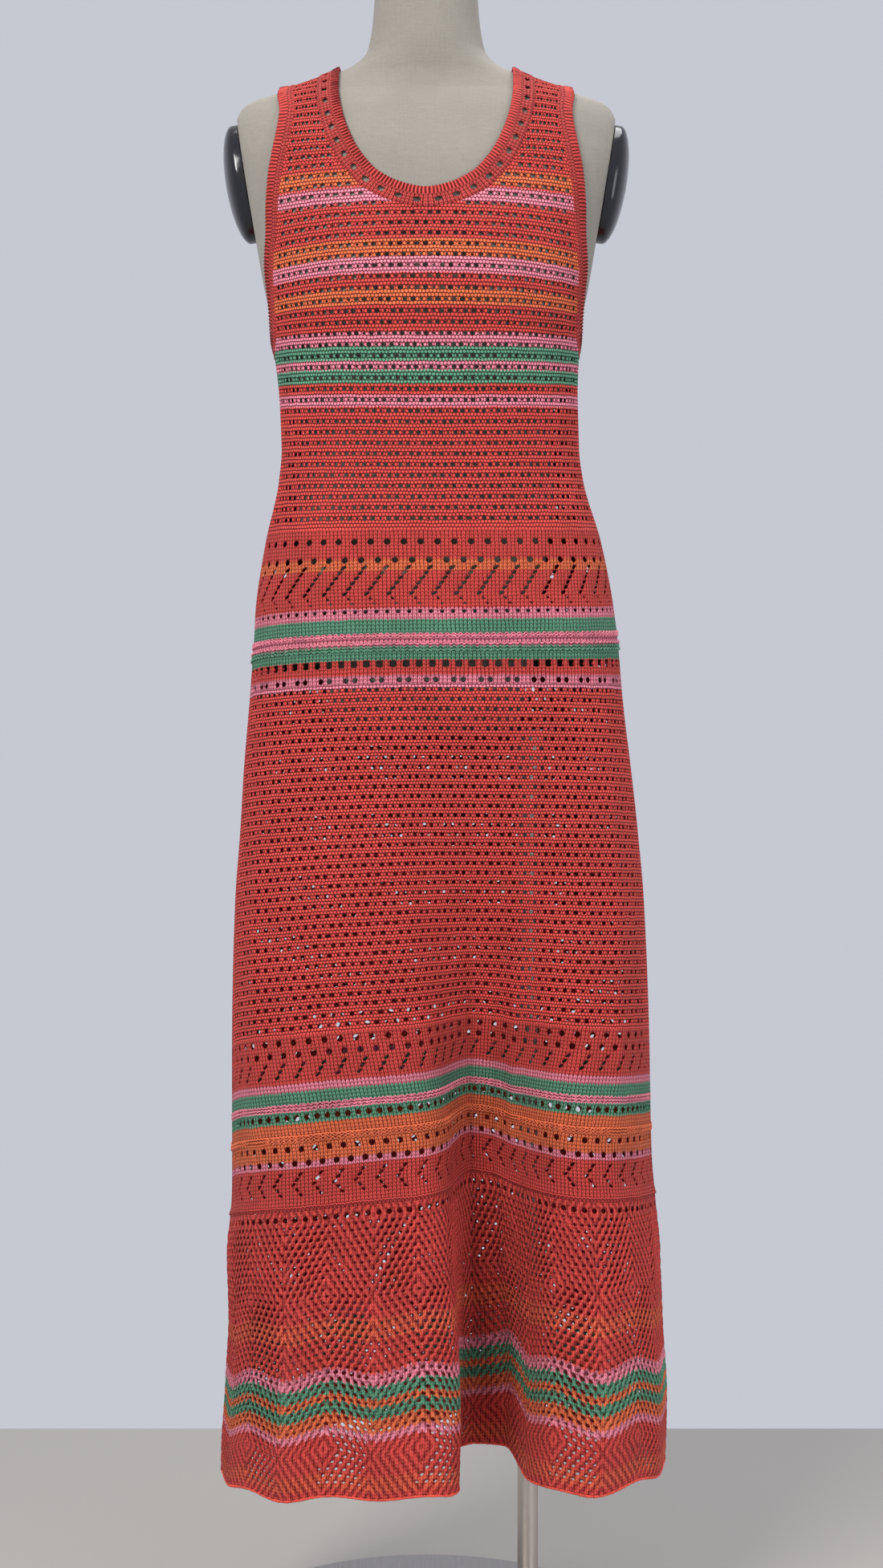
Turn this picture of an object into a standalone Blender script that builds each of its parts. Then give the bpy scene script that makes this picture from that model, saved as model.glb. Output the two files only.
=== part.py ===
# Sleeveless long knit dress, worn by a limbless dress form on a steel stand.
# Metres, +Z up. The front faces -Y. The origin is the centre of the base's underside.

import bisect
import functools
import math
from collections import namedtuple

import bmesh
import bpy
import numpy as np
from mathutils import Vector
from mathutils.geometry import delaunay_2d_cdt

SEAM = 0.0003                # gap between neighbouring pieces
CLOTH = 0.0020               # thickness of the knit
CLEARANCE = 0.0018           # from the form's cover to the cloth's inner side
OVAL = 2.2                   # exponent of the body's cross-sections, 2 is an ellipse

# The torso under its linen cover: half width, and depth to the front and to the back.
Section = namedtuple("Section", "z half front back")
FORM_SECTIONS = [
    Section(0.8650, 0.150, 0.088, 0.100),
    Section(0.8720, 0.154, 0.093, 0.104),
    Section(0.9000, 0.158, 0.100, 0.110),
    Section(0.9600, 0.156, 0.100, 0.111),
    Section(1.0400, 0.140, 0.092, 0.098),
    Section(1.1000, 0.124, 0.086, 0.085),
    Section(1.1400, 0.119, 0.084, 0.080),
    Section(1.1800, 0.124, 0.088, 0.082),
    Section(1.2332, 0.1440, 0.102, 0.090),
    Section(1.2700, 0.1515, 0.109, 0.094),
    Section(1.3020, 0.160, 0.110, 0.097),
    Section(1.3320, 0.1665, 0.107, 0.099),
    Section(1.3600, 0.176, 0.101, 0.100),
    Section(1.3900, 0.184, 0.094, 0.098),
    Section(1.4100, 0.187, 0.088, 0.094),
    Section(1.4300, 0.186, 0.080, 0.088),
    Section(1.4430, 0.183, 0.074, 0.081),
    Section(1.4550, 0.178, 0.066, 0.073),
    Section(1.4605, 0.172, 0.0615, 0.067),
    Section(1.4648, 0.160, 0.058, 0.062),
    Section(1.4705, 0.140, 0.0555, 0.058),
    Section(1.4768, 0.120, 0.0535, 0.055),
    Section(1.4840, 0.100, 0.0525, 0.054),
    Section(1.4915, 0.080, 0.0535, 0.054),
    Section(1.5000, 0.066, 0.0545, 0.0545),
    Section(1.5100, 0.0575, 0.055, 0.055),
    Section(1.5350, 0.052, 0.054, 0.054),
    Section(1.5660, 0.0495, 0.053, 0.053),
    Section(1.6060, 0.049, 0.0525, 0.0525),
]
BUST = {"out": 0.011, "apart": 0.072, "z": 1.265, "wide": 0.050, "above": 0.060, "below": 0.055}
BUST_HANG = 0.09             # the cloth falls from the bust over this height

# The dress below the armholes, outer face: middle, half width, depth front and back.
Skirt = namedtuple("Skirt", "z middle half front back")
SKIRT_SECTIONS = [
    Skirt(0.1300, 0.0154, 0.2133, 0.128, 0.130),
    Skirt(0.1783, 0.0166, 0.2137, 0.128, 0.130),
    Skirt(0.2399, 0.0189, 0.2121, 0.126, 0.129),
    Skirt(0.3015, 0.0185, 0.2087, 0.125, 0.127),
    Skirt(0.3631, 0.0166, 0.2083, 0.124, 0.126),
    Skirt(0.4093, 0.0166, 0.2044, 0.123, 0.125),
    Skirt(0.4555, 0.0150, 0.2021, 0.122, 0.122),
    Skirt(0.5787, 0.0137, 0.2008, 0.125, 0.122),
    Skirt(0.7019, 0.0127, 0.1967, 0.124, 0.121),
    Skirt(0.7635, 0.0123, 0.1917, 0.123, 0.121),
    Skirt(0.8251, 0.0108, 0.1863, 0.122, 0.121),
    Skirt(0.8867, 0.0096, 0.1798, 0.120, 0.121),
    Skirt(0.9483, 0.0092, 0.1748, 0.119, 0.121),
    Skirt(0.9791, 0.0081, 0.1721, 0.116, 0.118),
    Skirt(1.0407, 0.0069, 0.1617, 0.108, 0.108),
    Skirt(1.1023, 0.0046, 0.1463, 0.102, 0.098),
    Skirt(1.1331, 0.0039, 0.1432, 0.100, 0.094),
    Skirt(1.1793, 0.0023, 0.1436, 0.1010, 0.0925),
    Skirt(1.2332, 0.0000, 0.1475, 0.1055, 0.0935),
]

# Plan of the front's folds, seen from above, at the lower band and at the hem.
# across is the share of the front's cloth from the left side seam.
Plan = namedtuple("Plan", "across band_x band_y hem_x hem_y")
FRONT_PLAN = [
    Plan(0.000, -0.186, 0.000, -0.198, 0.000),
    Plan(0.079, -0.174, -0.050, -0.184, -0.055),
    Plan(0.149, -0.148, -0.088, -0.156, -0.095),
    Plan(0.221, -0.106, -0.112, -0.116, -0.125),
    Plan(0.284, -0.066, -0.118, -0.071, -0.122),
    Plan(0.359, -0.018, -0.118, -0.018, -0.135),
    Plan(0.405, 0.007, -0.105, 0.016, -0.128),
    Plan(0.437, 0.017, -0.088, 0.027, -0.105),
    Plan(0.489, 0.024, -0.066, 0.024, -0.055),
    Plan(0.537, 0.033, -0.045, 0.028, -0.010),
    Plan(0.568, 0.044, -0.030, 0.046, 0.008),
    Plan(0.609, 0.066, -0.030, 0.078, 0.000),
    Plan(0.656, 0.086, -0.050, 0.090, -0.035),
    Plan(0.701, 0.100, -0.068, 0.099, -0.075),
    Plan(0.748, 0.118, -0.088, 0.117, -0.108),
    Plan(0.795, 0.145, -0.102, 0.149, -0.118),
    Plan(0.843, 0.171, -0.092, 0.180, -0.095),
    Plan(0.889, 0.191, -0.070, 0.201, -0.070),
    Plan(0.934, 0.205, -0.042, 0.218, -0.045),
    Plan(1.000, 0.217, 0.000, 0.229, 0.000),
]

# Soft folds of the back, as troughs that deepen towards the hem.
Fold = namedtuple("Fold", "across wide deep")
BACK_FOLDS = [Fold(0.20, 0.055, 0.045), Fold(0.46, 0.060, 0.055), Fold(0.82, 0.045, 0.032)]

# How far each knitted row rises at the side seams and in the front's deep fold.
Lift = namedtuple("Lift", "z left right fold")
ROW_LIFTS = [
    Lift(0.1650, -0.0167, -0.0067, 0.0115),
    Lift(0.2800, -0.0369, -0.0179, 0.0010),
    Lift(0.4300, -0.0414, -0.0199, 0.0085),
    Lift(0.5400, -0.0374, -0.0166, 0.0060),
    Lift(0.7000, -0.0220, -0.0080, 0.0000),
    Lift(0.8600, -0.0097, -0.0036, 0.0000),
    Lift(0.9600, -0.0043, 0.0102, 0.0000),
    Lift(1.0300, 0.0040, 0.0100, 0.0000),
    Lift(1.1600, 0.0145, 0.0145, 0.0000),
    Lift(1.2000, 0.0145, 0.0145, 0.0000),
    Lift(1.3100, 0.0000, 0.0000, 0.0000),
]
FOLD_AT, FOLD_WIDE = 0.56, 0.07
FOLD_TAKES = 0.3             # the front's deep fold adds this share to the lower band's length

# The left armhole's edge, seen from the side.
Armhole = namedtuple("Armhole", "z front back")
ARMHOLE = [
    Armhole(1.2360, -0.011, 0.011),
    Armhole(1.2430, -0.020, 0.020),
    Armhole(1.2550, -0.028, 0.027),
    Armhole(1.2750, -0.036, 0.034),
    Armhole(1.2925, -0.0425, 0.039),
    Armhole(1.3210, -0.0535, 0.047),
    Armhole(1.3470, -0.059, 0.052),
    Armhole(1.3811, -0.063, 0.055),
    Armhole(1.4131, -0.062, 0.055),
    Armhole(1.4387, -0.055, 0.050),
    Armhole(1.4560, -0.044, 0.042),
    Armhole(1.4660, -0.030, 0.030),
    Armhole(1.4700, -0.0135, 0.0135),
]
ARMHOLE_FOOT, ARMHOLE_HEAD = 1.2332, 1.4709

# Right half of the neckline, from the shoulder to the middle.
Neck = namedtuple("Neck", "half z")
NECK_FRONT = [
    Neck(0.0804, 1.4890), Neck(0.0806, 1.4840), Neck(0.0811, 1.4652), Neck(0.0800, 1.4508),
    Neck(0.0761, 1.4320), Neck(0.0702, 1.4145), Neck(0.0616, 1.3965), Neck(0.0488, 1.3792),
    Neck(0.0391, 1.3708), Neck(0.0228, 1.3621), Neck(0.0000, 1.3569),
]
NECK_BACK = [
    Neck(0.0800, 1.4885), Neck(0.0780, 1.4790), Neck(0.0690, 1.4640), Neck(0.0500, 1.4500),
    Neck(0.0250, 1.4430), Neck(0.0000, 1.4410),
]
NECK_SHOULDER = Neck(0.0803, 1.4914)

NECK_BAND = {"wide": 0.021, "rib": 0.008, "raise": 0.0009, "row": 0.0138}
ARM_BAND = {"wide": 0.015, "rib": 0.009, "raise": 0.0009}

FLOUNCE_SEAM = 0.4370        # height of the seam at the lift's zero
HEM = 0.1692
SCALLOP = {"deep": 0.0035, "points": 12}

# Neighbouring pieces share these numbers of straight steps along their seams.
STEPS = {"neck_front": 28, "neck_back": 18, "arm_half": 15, "seam_front": 34, "seam_back": 28}
ARM_CLOSER = 1.3             # the armholes' steps draw closer towards the shoulder

# Raised purl rows of the panels: height and how far they stand out.
Ridge = namedtuple("Ridge", "z out")
RIDGES = [Ridge(0.9430, 0.0009), Ridge(0.5007, 0.0012), Ridge(0.4409, 0.0016)]
RIDGE_HALF = 0.0045

# Openwork rows with gaps over 4 mm, which are cut through.
Eyelets = namedtuple("Eyelets", "z pitch wide tall corners")
EYELET_ROWS = [
    Eyelets(1.0157, 0.0154, 0.0056, 0.0056, 4),
    Eyelets(0.9216, 0.0120, 0.0070, 0.0060, 4),
    Eyelets(0.4900, 0.0135, 0.0056, 0.0056, 4),
]
NECK_EYELETS = Eyelets(None, 0.0147, 0.0062, 0.0048, 4)

PLATE = {"half_deep": 0.040, "half_tall": 0.0565, "bulge": 0.021, "rim": 0.006}
PLATE_TOP = (0.180, 1.443)   # the arm plates' flat faces: x and z of their ends
PLATE_FOOT = (0.162, 1.332)

POLE = {"x": 0.0985, "y": 0.035, "radius": 0.010, "top": 0.8560}
SOCKET = {"radius": 0.018, "foot": 0.8260, "roof": 0.0060}
FLANGE = {"radius": 0.028, "tall": 0.014}
BASE = {"radius": 0.195, "thick": 0.008, "edge": 0.003}
NECK_CAP = {"radius_x": 0.0475, "radius_y": 0.051, "thick": 0.006}

LINEN = ("linen", (0.43, 0.38, 0.31), 0.9, 0.0)
RED_KNIT = ("red knit", (0.42, 0.047, 0.044), 0.9, 0.0)
RIB_KNIT = ("red rib knit", (0.48, 0.045, 0.045), 0.9, 0.0)
BLACK_PLASTIC = ("black plastic", (0.010, 0.010, 0.012), 0.15, 0.0)
STEEL = ("steel", (0.28, 0.25, 0.23), 0.35, 1.0)


def smooth_curve(xs, ys):
    """Monotone cubic through the points of a table column."""
    xs, ys = np.array(xs, float), np.array(ys, float)
    steps = np.diff(xs)
    slopes = np.diff(ys) / steps
    tangents = np.zeros(len(xs))
    tangents[0], tangents[-1] = slopes[0], slopes[-1]
    for i in range(1, len(xs) - 1):
        if slopes[i - 1] * slopes[i] > 0:
            before = 2 * steps[i] + steps[i - 1]
            after = steps[i] + 2 * steps[i - 1]
            tangents[i] = (before + after) / (before / slopes[i - 1] + after / slopes[i])

    xs, ys, steps, tangents = xs.tolist(), ys.tolist(), steps.tolist(), tangents.tolist()

    def value(x):
        if x <= xs[0]:
            return ys[0]
        if x >= xs[-1]:
            return ys[-1]
        i = bisect.bisect_right(xs, x) - 1
        t = (x - xs[i]) / steps[i]
        start = (1 + 2 * t) * (1 - t) ** 2 * ys[i] + t * (1 - t) ** 2 * steps[i] * tangents[i]
        end = t * t * (3 - 2 * t) * ys[i + 1] + t * t * (t - 1) * steps[i] * tangents[i + 1]
        return start + end

    return value


def columns(rows):
    """A table's columns as smooth functions of its first column."""
    first = [row[0] for row in rows]
    return {name: smooth_curve(first, [getattr(row, name) for row in rows])
            for name in rows[0]._fields[1:]}


form = columns(FORM_SECTIONS)
skirt = columns(SKIRT_SECTIONS)
plan = columns(FRONT_PLAN)
lift_columns = columns(ROW_LIFTS)
band_share = smooth_curve([0.49, 0.56, 0.72, 0.88], [1.0, 0.75, 0.35, 0.0])
hem_share = smooth_curve([0.19, 0.28, 0.42], [1.0, 0.75, 0.0])
back_fold_share = smooth_curve([0.15, 0.50, 0.85], [1.0, 0.55, 0.0])


def bust(x, z, covered):
    """How far the bust stands out; cloth spans from one side to the other."""
    apart = max(abs(x) - BUST["apart"], 0) if covered else abs(x) - BUST["apart"]
    below = BUST_HANG if covered else BUST["below"]
    height = BUST["above"] if z > BUST["z"] else below
    return BUST["out"] * math.exp(-(apart / BUST["wide"]) ** 2 - ((z - BUST["z"]) / height) ** 2)


@functools.lru_cache(maxsize=None)
def body_sizes(z, covered):
    """Middle, half width and depths of the form, or of what the cloth follows."""
    if covered and z < ARMHOLE_FOOT:
        grow = CLEARANCE + CLOTH
        return (skirt["middle"](z), skirt["half"](z) - grow,
                skirt["front"](z) - grow, skirt["back"](z) - grow)
    return 0.0, form["half"](z), form["front"](z), form["back"](z)


def body_point(z, angle, side, covered):
    """Point of the body at a height; angle runs from pi at -X to 0 at +X."""
    middle, half, front, back = body_sizes(z, covered)
    share = 2 / OVAL
    x = middle + half * math.copysign(abs(math.cos(angle)) ** share, math.cos(angle))
    depth = abs(math.sin(angle)) ** share
    if side < 0:
        return Vector((x, -front * depth - bust(x, z, covered) * depth, z))
    return Vector((x, back * depth, z))


def outside(point):
    """Zero on the surface that the upper dress follows, and positive outside it."""
    x, y, z = point
    middle, half, front, back = body_sizes(z, True)
    depth = back
    if y < 0:
        rim = max(1 - min(abs(x - middle) / half, 1.0) ** OVAL, 0.0) ** (1 / OVAL)
        y = min(y + bust(x, z, True) * rim, 0.0)
        depth = front
    return (abs((x - middle) / half) ** OVAL + abs(y / depth) ** OVAL) ** (1 / OVAL) - 1


def slope(point):
    """Gradient of outside()."""
    step = 0.0004
    changes = []
    for axis in range(3):
        ahead, behind = point.copy(), point.copy()
        ahead[axis] += step
        behind[axis] -= step
        changes.append((outside(ahead) - outside(behind)) / (2 * step))
    return Vector(changes)


def onto_body(point):
    """The nearest point of the surface that the upper dress follows."""
    for _ in range(6):
        gradient = slope(point)
        point = point - gradient * (outside(point) / gradient.length_squared)
    return point


@functools.lru_cache(maxsize=None)
def ring_table(z, side):
    """Angles of a ring, its length up to each, and its points."""
    angles = [math.pi * (1 - i / 80) for i in range(81)]
    points = [body_point(z, angle, side, True) for angle in angles]
    lengths = [0.0]
    for a, b in zip(points, points[1:]):
        lengths.append(lengths[-1] + (b - a).length)
    return angles, lengths, points


def row_lift(across, z):
    """Rise of a knitted row at a share of the width, from the left side seam."""
    edge = lift_columns["left"](z) if across < 0.5 else lift_columns["right"](z)
    rise = edge * (2 * across - 1) ** 2
    return rise + lift_columns["fold"](z) * math.exp(-((across - FOLD_AT) / FOLD_WIDE) ** 2)


def cloth_base(across, row, side):
    """Surface that the cloth lies on, at a share of the width and a knitted row."""
    z = row + row_lift(across, row)
    angles, lengths, _ = ring_table(z, side)
    reach = across * lengths[-1]
    i = min(bisect.bisect_right(lengths, reach), len(lengths) - 1) - 1
    t = (reach - lengths[i]) / (lengths[i + 1] - lengths[i])
    angle = angles[i] + (angles[i + 1] - angles[i]) * t
    point = body_point(z, angle, side, True)
    band, hem = band_share(row), hem_share(row)
    if side > 0:
        for fold in BACK_FOLDS:
            trough = math.exp(-((across - fold.across) / fold.wide) ** 2)
            point.y -= fold.deep * back_fold_share(row) * trough
        return point
    if band <= 0:
        return point
    middle, half, _, _ = body_sizes(z, True)
    spans = {}
    for name in ("band", "hem"):
        x = plan[name + "_x"](across)
        left, right = getattr(FRONT_PLAN[0], name + "_x"), getattr(FRONT_PLAN[-1], name + "_x")
        spans[name] = (2 * (x - left) / (right - left) - 1, plan[name + "_y"](across))
    ring_share = (point.x - middle) / half
    folded = [spans["band"][i] * (1 - hem) + spans["hem"][i] * hem for i in range(2)]
    point.x = middle + half * (ring_share * (1 - band) + folded[0] * band)
    point.y = point.y * (1 - band) + folded[1] * band
    return point


def cloth_place(across, row, side):
    """Surface point and outward direction at a place of the cloth."""
    point = cloth_base(across, row, side)
    if row > 0.95:
        normal = slope(point).normalized()
    else:
        step = 0.004
        left, right = max(across - step, 0.0), min(across + step, 1.0)
        along = cloth_base(right, row, side) - cloth_base(left, row, side)
        up = cloth_base(across, row + step, side) - cloth_base(across, row - step, side)
        normal = along.cross(up).normalized() * -side
    return point, normal


def on_seam(point, normal, side):
    """Keep a piece's edge at the side or shoulder seam half a gap from the middle."""
    point = Vector((point.x, side * SEAM / 2, point.z))
    return point, Vector((normal.x, 0.0, normal.z)).normalized()


def smooth_loop(points, count):
    """Evenly spaced points on a smooth closed curve through the given ones."""
    closed = [points[-1]] + list(points) + [points[0], points[1]]
    fine = []
    for before, start, end, after in zip(closed, closed[1:], closed[2:], closed[3:]):
        for step in range(12):
            t = step / 12
            fine.append(0.5 * (2 * start + (end - before) * t
                               + (2 * before - 5 * start + 4 * end - after) * t * t
                               + (3 * start - before - 3 * end + after) * t ** 3))
    fine.append(fine[0])
    lengths = [0.0]
    for a, b in zip(fine, fine[1:]):
        lengths.append(lengths[-1] + (b - a).length)
    even = [lengths[-1] * i / count for i in range(count)]
    values = np.array([tuple(p) for p in fine])
    return [onto_body(Vector([float(np.interp(s, lengths, values[:, axis])) for axis in range(3)]))
            for s in even], lengths[-1]


def armhole_edge(sign):
    """The armhole's edge as points on the body, from the underarm up the front."""
    def place(z, y):
        _, half, front, back = body_sizes(z, True)
        depth = front if y < 0 else back
        x = half * (1 - min(abs(y) / depth, 1.0) ** OVAL) ** (1 / OVAL)
        return Vector((sign * x, y, z))

    points = [place(ARMHOLE_FOOT, 0.0)]
    points += [place(row.z, row.front) for row in ARMHOLE]
    points.append(place(ARMHOLE_HEAD, 0.0))
    points += [place(row.z, row.back) for row in reversed(ARMHOLE)]
    return points


def neck_edge():
    """The neckline as points on the body, from the left shoulder round the front."""
    def place(row, sign, side):
        _, half, front, back = body_sizes(row.z, True)
        depth = front if side < 0 else back
        y = depth * (1 - min(row.half / half, 1.0) ** OVAL) ** (1 / OVAL)
        return onto_body(Vector((sign * row.half, side * y, row.z)))

    shoulder = [Vector((sign * NECK_SHOULDER.half, 0, NECK_SHOULDER.z)) for sign in (-1, 1)]
    points = [shoulder[0]] + [place(row, -1, -1) for row in NECK_FRONT]
    points += [place(row, 1, -1) for row in reversed(NECK_FRONT[:-1])]
    points += [shoulder[1]] + [place(row, 1, 1) for row in NECK_BACK]
    points += [place(row, -1, 1) for row in reversed(NECK_BACK[:-1])]
    return points


class BandPath:
    """Strip of cloth along a closed edge, measured along it and away from it."""

    def __init__(self, edge, count, away):
        self.points, self.length = smooth_loop(edge, count)
        self.count = count
        self.away = []
        for i, point in enumerate(self.points):
            along = self.points[(i + 1) % count] - self.points[i - 1]
            out = along.cross(slope(point)).normalized() * away
            self.away.append(out)

    def place(self, along, off):
        """Point of the surface at a share of the edge and a distance off it."""
        spot = (along % 1.0) * self.count
        i = int(spot) % self.count
        t = spot - int(spot)
        j = (i + 1) % self.count
        point = self.points[i].lerp(self.points[j], t)
        out = self.away[i].lerp(self.away[j], t).normalized()
        half_way = onto_body(point + out * (off / 2))
        ahead = onto_body(half_way + (half_way - point).normalized() * (off / 2)) if off else half_way
        return ahead

    @functools.lru_cache(maxsize=None)
    def crossing(self, off, low, high):
        """Share of the edge between low and high where the strip meets the seam plane."""
        start = self.place(low, off).y > 0
        for _ in range(24):
            middle = (low + high) / 2
            if (self.place(middle, off).y > 0) == start:
                low = middle
            else:
                high = middle
        return (low + high) / 2


def arm_shares(path, off):
    """Shares of an armhole's edge: up its front, then down its back."""
    under, head = path.crossing(off, -0.1, 0.1), path.crossing(off, 0.4, 0.6)
    count = STEPS["arm_half"]
    closer = [1 - (1 - i / count) ** ARM_CLOSER for i in range(count + 1)]
    front = [under + (head - under) * t for t in closer[:-1]]
    return front + [under + 1 - (under + 1 - head) * t for t in closer[::-1]]


def neck_ends(off, side):
    """Shares of the neckline at which one side's half begins and ends."""
    left, right = neck_path.crossing(off, -0.1, 0.1), neck_path.crossing(off, 0.4, 0.75)
    return (left, right) if side < 0 else (right, left + 1)


neck_path = BandPath(neck_edge(), 96, 1)
arm_paths = {sign: BandPath(armhole_edge(sign), 80, -sign) for sign in (-1, 1)}


def inside(loop, x, y):
    """Whether a flat point is inside a closed outline."""
    found = False
    for (x1, y1), (x2, y2) in zip(loop, loop[1:] + loop[:1]):
        if (y1 > y) != (y2 > y) and x < (x2 - x1) * (y - y1) / (y2 - y1) + x1:
            found = not found
    return found


def make_material(finish):
    """One material for each finish."""
    name, colour, roughness, metallic = finish
    material = bpy.data.materials.get(name) or bpy.data.materials.new(name)
    material.use_nodes = True
    shader = material.node_tree.nodes["Principled BSDF"]
    shader.inputs["Base Color"].default_value = (*colour, 1)
    shader.inputs["Roughness"].default_value = roughness
    shader.inputs["Metallic"].default_value = metallic
    return material


def finish_object(name, mesh_or_bmesh, finish, sharp=40):
    """Put a mesh in the collection under its piece's name."""
    if isinstance(mesh_or_bmesh, bmesh.types.BMesh):
        mesh = bpy.data.meshes.new(name)
        mesh_or_bmesh.to_mesh(mesh)
        mesh_or_bmesh.free()
    else:
        mesh = mesh_or_bmesh
    thing = bpy.data.objects.new(name, mesh)
    mesh.shade_smooth()
    mesh.set_sharp_from_angle(angle=math.radians(sharp))
    mesh.materials.append(make_material(finish))
    parts.objects.link(thing)
    return thing


def cloth_wall(name, finish, outline, holes, lattice, flat, place):
    """A knitted piece: its flat pattern is triangulated, laid on the body and given thickness.

    outline, holes and lattice are places in the piece's own two measures, and a lattice place
    comes with the room that it keeps to any edge. flat() lays a place out in the plane, and
    place() gives its inner point, direction and thickness.
    """
    loop = [flat(*spot) for spot in outline]
    hole_loops = [[flat(*spot) for spot in hole] for hole in holes]
    kept = []
    edge_points = np.array(loop + [spot for hole in hole_loops for spot in hole])
    for spot, room in lattice:
        x, y = flat(*spot)
        near = np.min(np.hypot(edge_points[:, 0] - x, edge_points[:, 1] - y))
        if near > room and inside(loop, x, y):
            kept.append(spot)
    spots = list(outline) + [spot for hole in holes for spot in hole] + kept
    edges, start, owner = [], 0, {}
    for number, ring in enumerate([loop] + hole_loops):
        size = len(ring)
        edges += [(start + i, start + (i + 1) % size) for i in range(size)]
        if number:
            owner.update({start + i: number for i in range(size)})
        start += size
    flats = [Vector(flat(*spot)) for spot in spots]
    _, _, faces, originals, _, _ = delaunay_2d_cdt(flats, edges, [], 1, 1e-7)

    shell = bmesh.new()
    inner, outer = [], []
    for spot in spots:
        point, normal, thick = place(*spot)
        inner.append(shell.verts.new(point + normal * CLEARANCE))
        outer.append(shell.verts.new(point + normal * (CLEARANCE + thick)))
    rim = {}
    for face in faces:
        a, b, c = (originals[i][0] for i in face)
        if a in owner and owner.get(a) == owner.get(b) == owner.get(c):
            continue
        shell.faces.new((outer[a], outer[b], outer[c]))
        shell.faces.new((inner[c], inner[b], inner[a]))
        for i, j in ((a, b), (b, c), (c, a)):
            if (j, i) in rim:
                del rim[(j, i)]
            else:
                rim[(i, j)] = True
    for i, j in rim:
        shell.faces.new((outer[j], outer[i], inner[i], inner[j]))
    loose = [vert for vert in shell.verts if not vert.link_faces]
    bmesh.ops.delete(shell, geom=loose, context="VERTS")
    bmesh.ops.triangulate(shell, faces=[face for face in shell.faces if len(face.verts) > 3])
    bmesh.ops.recalc_face_normals(shell, faces=shell.faces)
    return finish_object(name, shell, finish)


def row_chart(z):
    """Distance up the cloth at a height, which grows where it turns over the shoulder."""
    return z + 0.3 * max(z - 1.40, 0.0) + 1.2 * max(z - 1.455, 0.0)


def panel_flat(side):
    """Lay a place of a panel out in the plane."""
    def flat(across, row):
        z = min(max(row, 0.62), 1.60)
        _, lengths, _ = ring_table(round(z, 3), side)
        return (across - 0.5) * lengths[-1], row_chart(row)

    return flat


def panel_spot(point, side):
    """Across and row of a point of the body above the armhole's foot."""
    _, lengths, ring = ring_table(point.z, side)
    gaps = [(p - point).length_squared for p in ring]
    i = min(max(gaps.index(min(gaps)), 1), len(ring) - 2)
    best = (1e9, 0.0)
    for a in (i - 1, i):
        chord = ring[a + 1] - ring[a]
        t = min(max((point - ring[a]).dot(chord) / max(chord.length_squared, 1e-12), 0.0), 1.0)
        gap = (ring[a] + chord * t - point).length_squared
        best = min(best, (gap, (lengths[a] + chord.length * t) / lengths[-1]))
    across, row = best[1], point.z
    for _ in range(8):
        row = point.z - row_lift(across, row)
    return across, row


def diamond(across, row, wide, tall, corners, length):
    """An eyelet's outline, in across and row."""
    turn = [math.tau * i / corners for i in range(corners)]
    return [(across + wide / 2 * math.cos(a) / length, row + tall / 2 * math.sin(a)) for a in turn]


def panel_rows(foot, top, spacing):
    """Heights of a panel's rows of points, with those of the ridges."""
    count = round((top - foot) / spacing)
    rows = [foot + (top - foot) * i / count for i in range(1, count)]
    for ridge in RIDGES:
        rows = [row for row in rows if abs(row - ridge.z) > 0.4 * spacing]
        rows += [ridge.z - RIDGE_HALF, ridge.z, ridge.z + RIDGE_HALF]
    return sorted(rows)


def ridge_height(row):
    """How far a purl row stands out of the cloth."""
    return sum(ridge.out * max(1 - abs(row - ridge.z) / RIDGE_HALF, 0.0) for ridge in RIDGES)


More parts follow.
